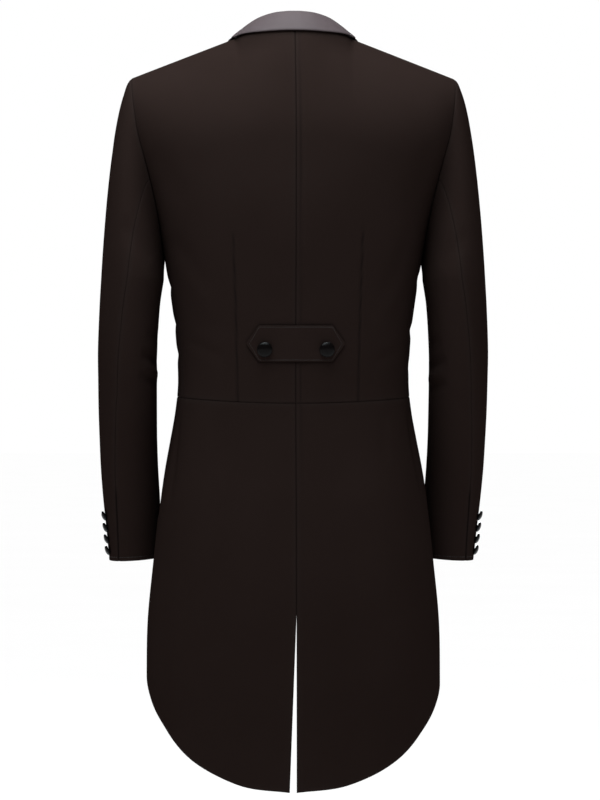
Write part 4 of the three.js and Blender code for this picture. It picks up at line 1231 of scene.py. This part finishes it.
def thread_material(nap):
    """Black silk twist: fine, dark and a little glossy."""
    material, tree, inputs, place = new_material("thread")
    brushed = placed(tree, nap, {"Vector": place, "Clouds": 300.0, "Fibres": 3000.0})
    tree.links.new(blend_colours(tree, brushed["Fibre"], THREAD_DEEP, THREAD_LIGHT), inputs["Base Color"])
    tree.links.new(sums(tree, "MULTIPLY_ADD", brushed["Cloud"], 0.2, 0.4), inputs["Roughness"])
    return material


def floor_material():
    """Plain white studio floor, with a very faint unevenness."""
    material, tree, inputs, place = new_material("studio_floor", 0.0)
    noise = node(tree, "ShaderNodeTexNoise", {"Vector": place, "Scale": 1.5})
    tree.links.new(blend_colours(tree, noise.outputs["Fac"], FLOOR_DEEP, FLOOR_LIGHT), inputs["Base Color"])
    inputs["Roughness"].default_value = 0.9
    return material


weave, nap, edges = weave_group(), nap_group(), edge_group()
wool = wool_material(weave, nap, edges)
satin = satin_material(weave, nap, edges)
covered = covered_material(weave, nap)
thread = thread_material(nap)


# The coat
def cuff_stitching(side, part):
    """The cuff's hem stitches, on the line that the sleeve's groove follows."""
    first, last = (FORE_SEAM_TURNS[1] - 1, HIND_SEAM_TURNS[1]) if part == "top" else (
        HIND_SEAM_TURNS[1], FORE_SEAM_TURNS[1])
    turn = mix(first, last, np.linspace(0.02, 0.98, 60))
    drop = 1 - CUFF_STITCH_RISE / (SLEEVE_TOP - CUFF_HEIGHT)
    share = np.full(60, mix(SLEEVE_HEAD_SHARE, 1, drop))
    points, outward = sleeve_point(turn, share), sleeve_normal(turn, share)
    points = points - outward * STITCH_DEPTH
    mirror = np.array([side, 1, 1])
    name = f"cuff_stitching_{part}_{SIDES[side]}"
    return stitches(name, points * mirror, outward * mirror, **CUFF_STITCHES)


def belt_stitching():
    """Edge stitches round the half-belt, a little inside its outline."""
    half, depth = BELT_HALF_LENGTH - 2 * BELT_STITCH_INSET, BELT_HALF_DEPTH - BELT_STITCH_INSET
    corner = BELT_STRAIGHT_HALF_LENGTH - 0.4 * BELT_STITCH_INSET
    outline = np.array([(-corner, depth), (corner, depth), (half, 0), (corner, -depth), (-corner, -depth),
                        (-half, 0), (-corner, depth)])
    run = run_lengths(np.pad(outline, ((0, 0), (0, 1)))[None], 1)[0]
    place = np.linspace(0, run[-1], 400)
    x, rise = np.interp(place, run, outline[:, 0]), np.interp(place, run, outline[:, 1])
    points, outward = on_body(x, BELT_HEIGHT + rise, False, BELT_LIFT + CLOTH)
    return stitches("half_belt_stitching", points, outward, **BELT_STITCHES)


for side in SIDES:
    back_panel(side)
    side_panel(side)
    front_panel(side)
    skirt_panel(side)
    lapel(side)
    for part, first_turns, last_turns in (
            ("top", (FORE_SEAM_TURNS[0] - 1, FORE_SEAM_TURNS[1] - 1), HIND_SEAM_TURNS),
            ("under", HIND_SEAM_TURNS, FORE_SEAM_TURNS)):
        sleeve_piece(side, part, first_turns, last_turns)
collar()
half_belt()

for side in SIDES:
    seat, outward = on_body(side * BELT_BUTTON_X, BELT_BUTTON_HEIGHT, False, BELT_LIFT + CLOTH)
    button(f"belt_button_{SIDES[side]}", LARGE_BUTTON, seat, outward)
    for i in range(CUFF_BUTTON_COUNT):
        height = CUFF_BUTTON_TOP - i * CUFF_BUTTON_PITCH
        share = mix(SLEEVE_HEAD_SHARE, 1, (SLEEVE_TOP - height) / (SLEEVE_TOP - CUFF_HEIGHT))
        turn, mirror = np.array(CUFF_BUTTON_TURN), np.array([side, 1, 1])
        faced = unit(sleeve_normal(turn, share) - (0, 0, CUFF_BUTTON_TILT))
        button(f"cuff_button_{SIDES[side]}_{i + 1}", CUFF_BUTTON, sleeve_point(turn, share) * mirror,
               faced * mirror)
button("front_button", LARGE_BUTTON, *on_body(0, FRONT_BUTTON_HEIGHT, True, LAP_LIFT))

# Studio
FLOOR_HEIGHT = -1450
FLOOR_HALF_SIZE = 60000
CAMERA_DISTANCE = 5000
CAMERA_TURN = 178
CAMERA_HEIGHT = -495.4
CAMERA_SHIFT = 9.2
FRAME_HEIGHT = 1104
SENSOR = 36


def studio_floor():
    """A level square floor under where a wearer would stand."""
    corners = np.array([(-1, -1), (1, -1), (1, 1), (-1, 1)]) * FLOOR_HALF_SIZE
    vertices = np.column_stack([corners, np.full(4, FLOOR_HEIGHT)])
    floor = make_object("floor", vertices, [[0, 1, 2, 3]], floor_material())


def studio_camera():
    """A level camera behind the coat, turned a little to the wearer's left."""
    turn = math.radians(CAMERA_TURN)
    away = Vector((math.sin(turn), -math.cos(turn), 0))
    right = Vector((math.cos(turn), math.sin(turn), 0))
    data = bpy.data.cameras.new("camera")
    data.sensor_width = SENSOR
    data.lens = SENSOR * CAMERA_DISTANCE / FRAME_HEIGHT
    data.clip_end = 100
    camera = in_scene("camera", data)
    place = away * CAMERA_DISTANCE + right * CAMERA_SHIFT + Vector((0, 0, CAMERA_HEIGHT))
    camera.location = place * MILLIMETRE
    camera.rotation_euler = (-away).to_track_quat("-Z", "Y").to_euler()
    bpy.context.scene.camera = camera


def soft_sun(name, toward, strength, spread):
    """A broad distant light that shines along a direction."""
    data = bpy.data.lights.new(name, "SUN")
    data.energy = strength
    data.angle = math.radians(spread)
    light = in_scene(name, data)
    light.rotation_euler = Vector(toward).to_track_quat("-Z", "Y").to_euler()


SOFT_BOX_COLOUR = (0.83, 0.97, 1.0)


def soft_box(name, place, aim, width, power):
    """A square soft light at a place, in metres, turned to face a point."""
    data = bpy.data.lights.new(name, "AREA")
    data.energy = power
    data.color = SOFT_BOX_COLOUR
    data.size = width
    light = in_scene(name, data)
    light.location = place
    light.rotation_euler = (Vector(aim) - Vector(place)).to_track_quat("-Z", "Y").to_euler()


def white_world(strength):
    """A plain white surround that the camera sees at full white and that lights the coat more gently."""
    world = bpy.data.worlds.new("studio")
    bpy.context.scene.world = world
    world.use_nodes = True
    tree = world.node_tree
    seen = node(tree, "ShaderNodeLightPath").outputs["Is Camera Ray"]
    light = node(tree, "ShaderNodeMix", {0: seen, 2: strength, 3: 1.0}, data_type="FLOAT").outputs[0]
    background = tree.nodes["Background"]
    background.inputs["Color"].default_value = (1, 1, 1, 1)
    tree.links.new(light, background.inputs["Strength"])


studio_floor()
studio_camera()
soft_sun("overhead", (0, 0, -1), 3.15, 20)
soft_box("key", (0.4, 0.42, 0.8), (0.02, 0.05, -0.1), 0.8, 20)
soft_box("kicker", (-0.16, 0.36, 0.6), (-0.08, 0.04, -0.03), 0.4, 5)
soft_box("back_fill", (0.15, 1.5, 1.3), (0, 0, 0), 0.8, 24)
soft_box("front_fill", (0, -2.4, -0.15), (0, 0, -0.5), 1.2, 75)
white_world(0.05)
bpy.context.scene.view_settings.view_transform = "Standard"
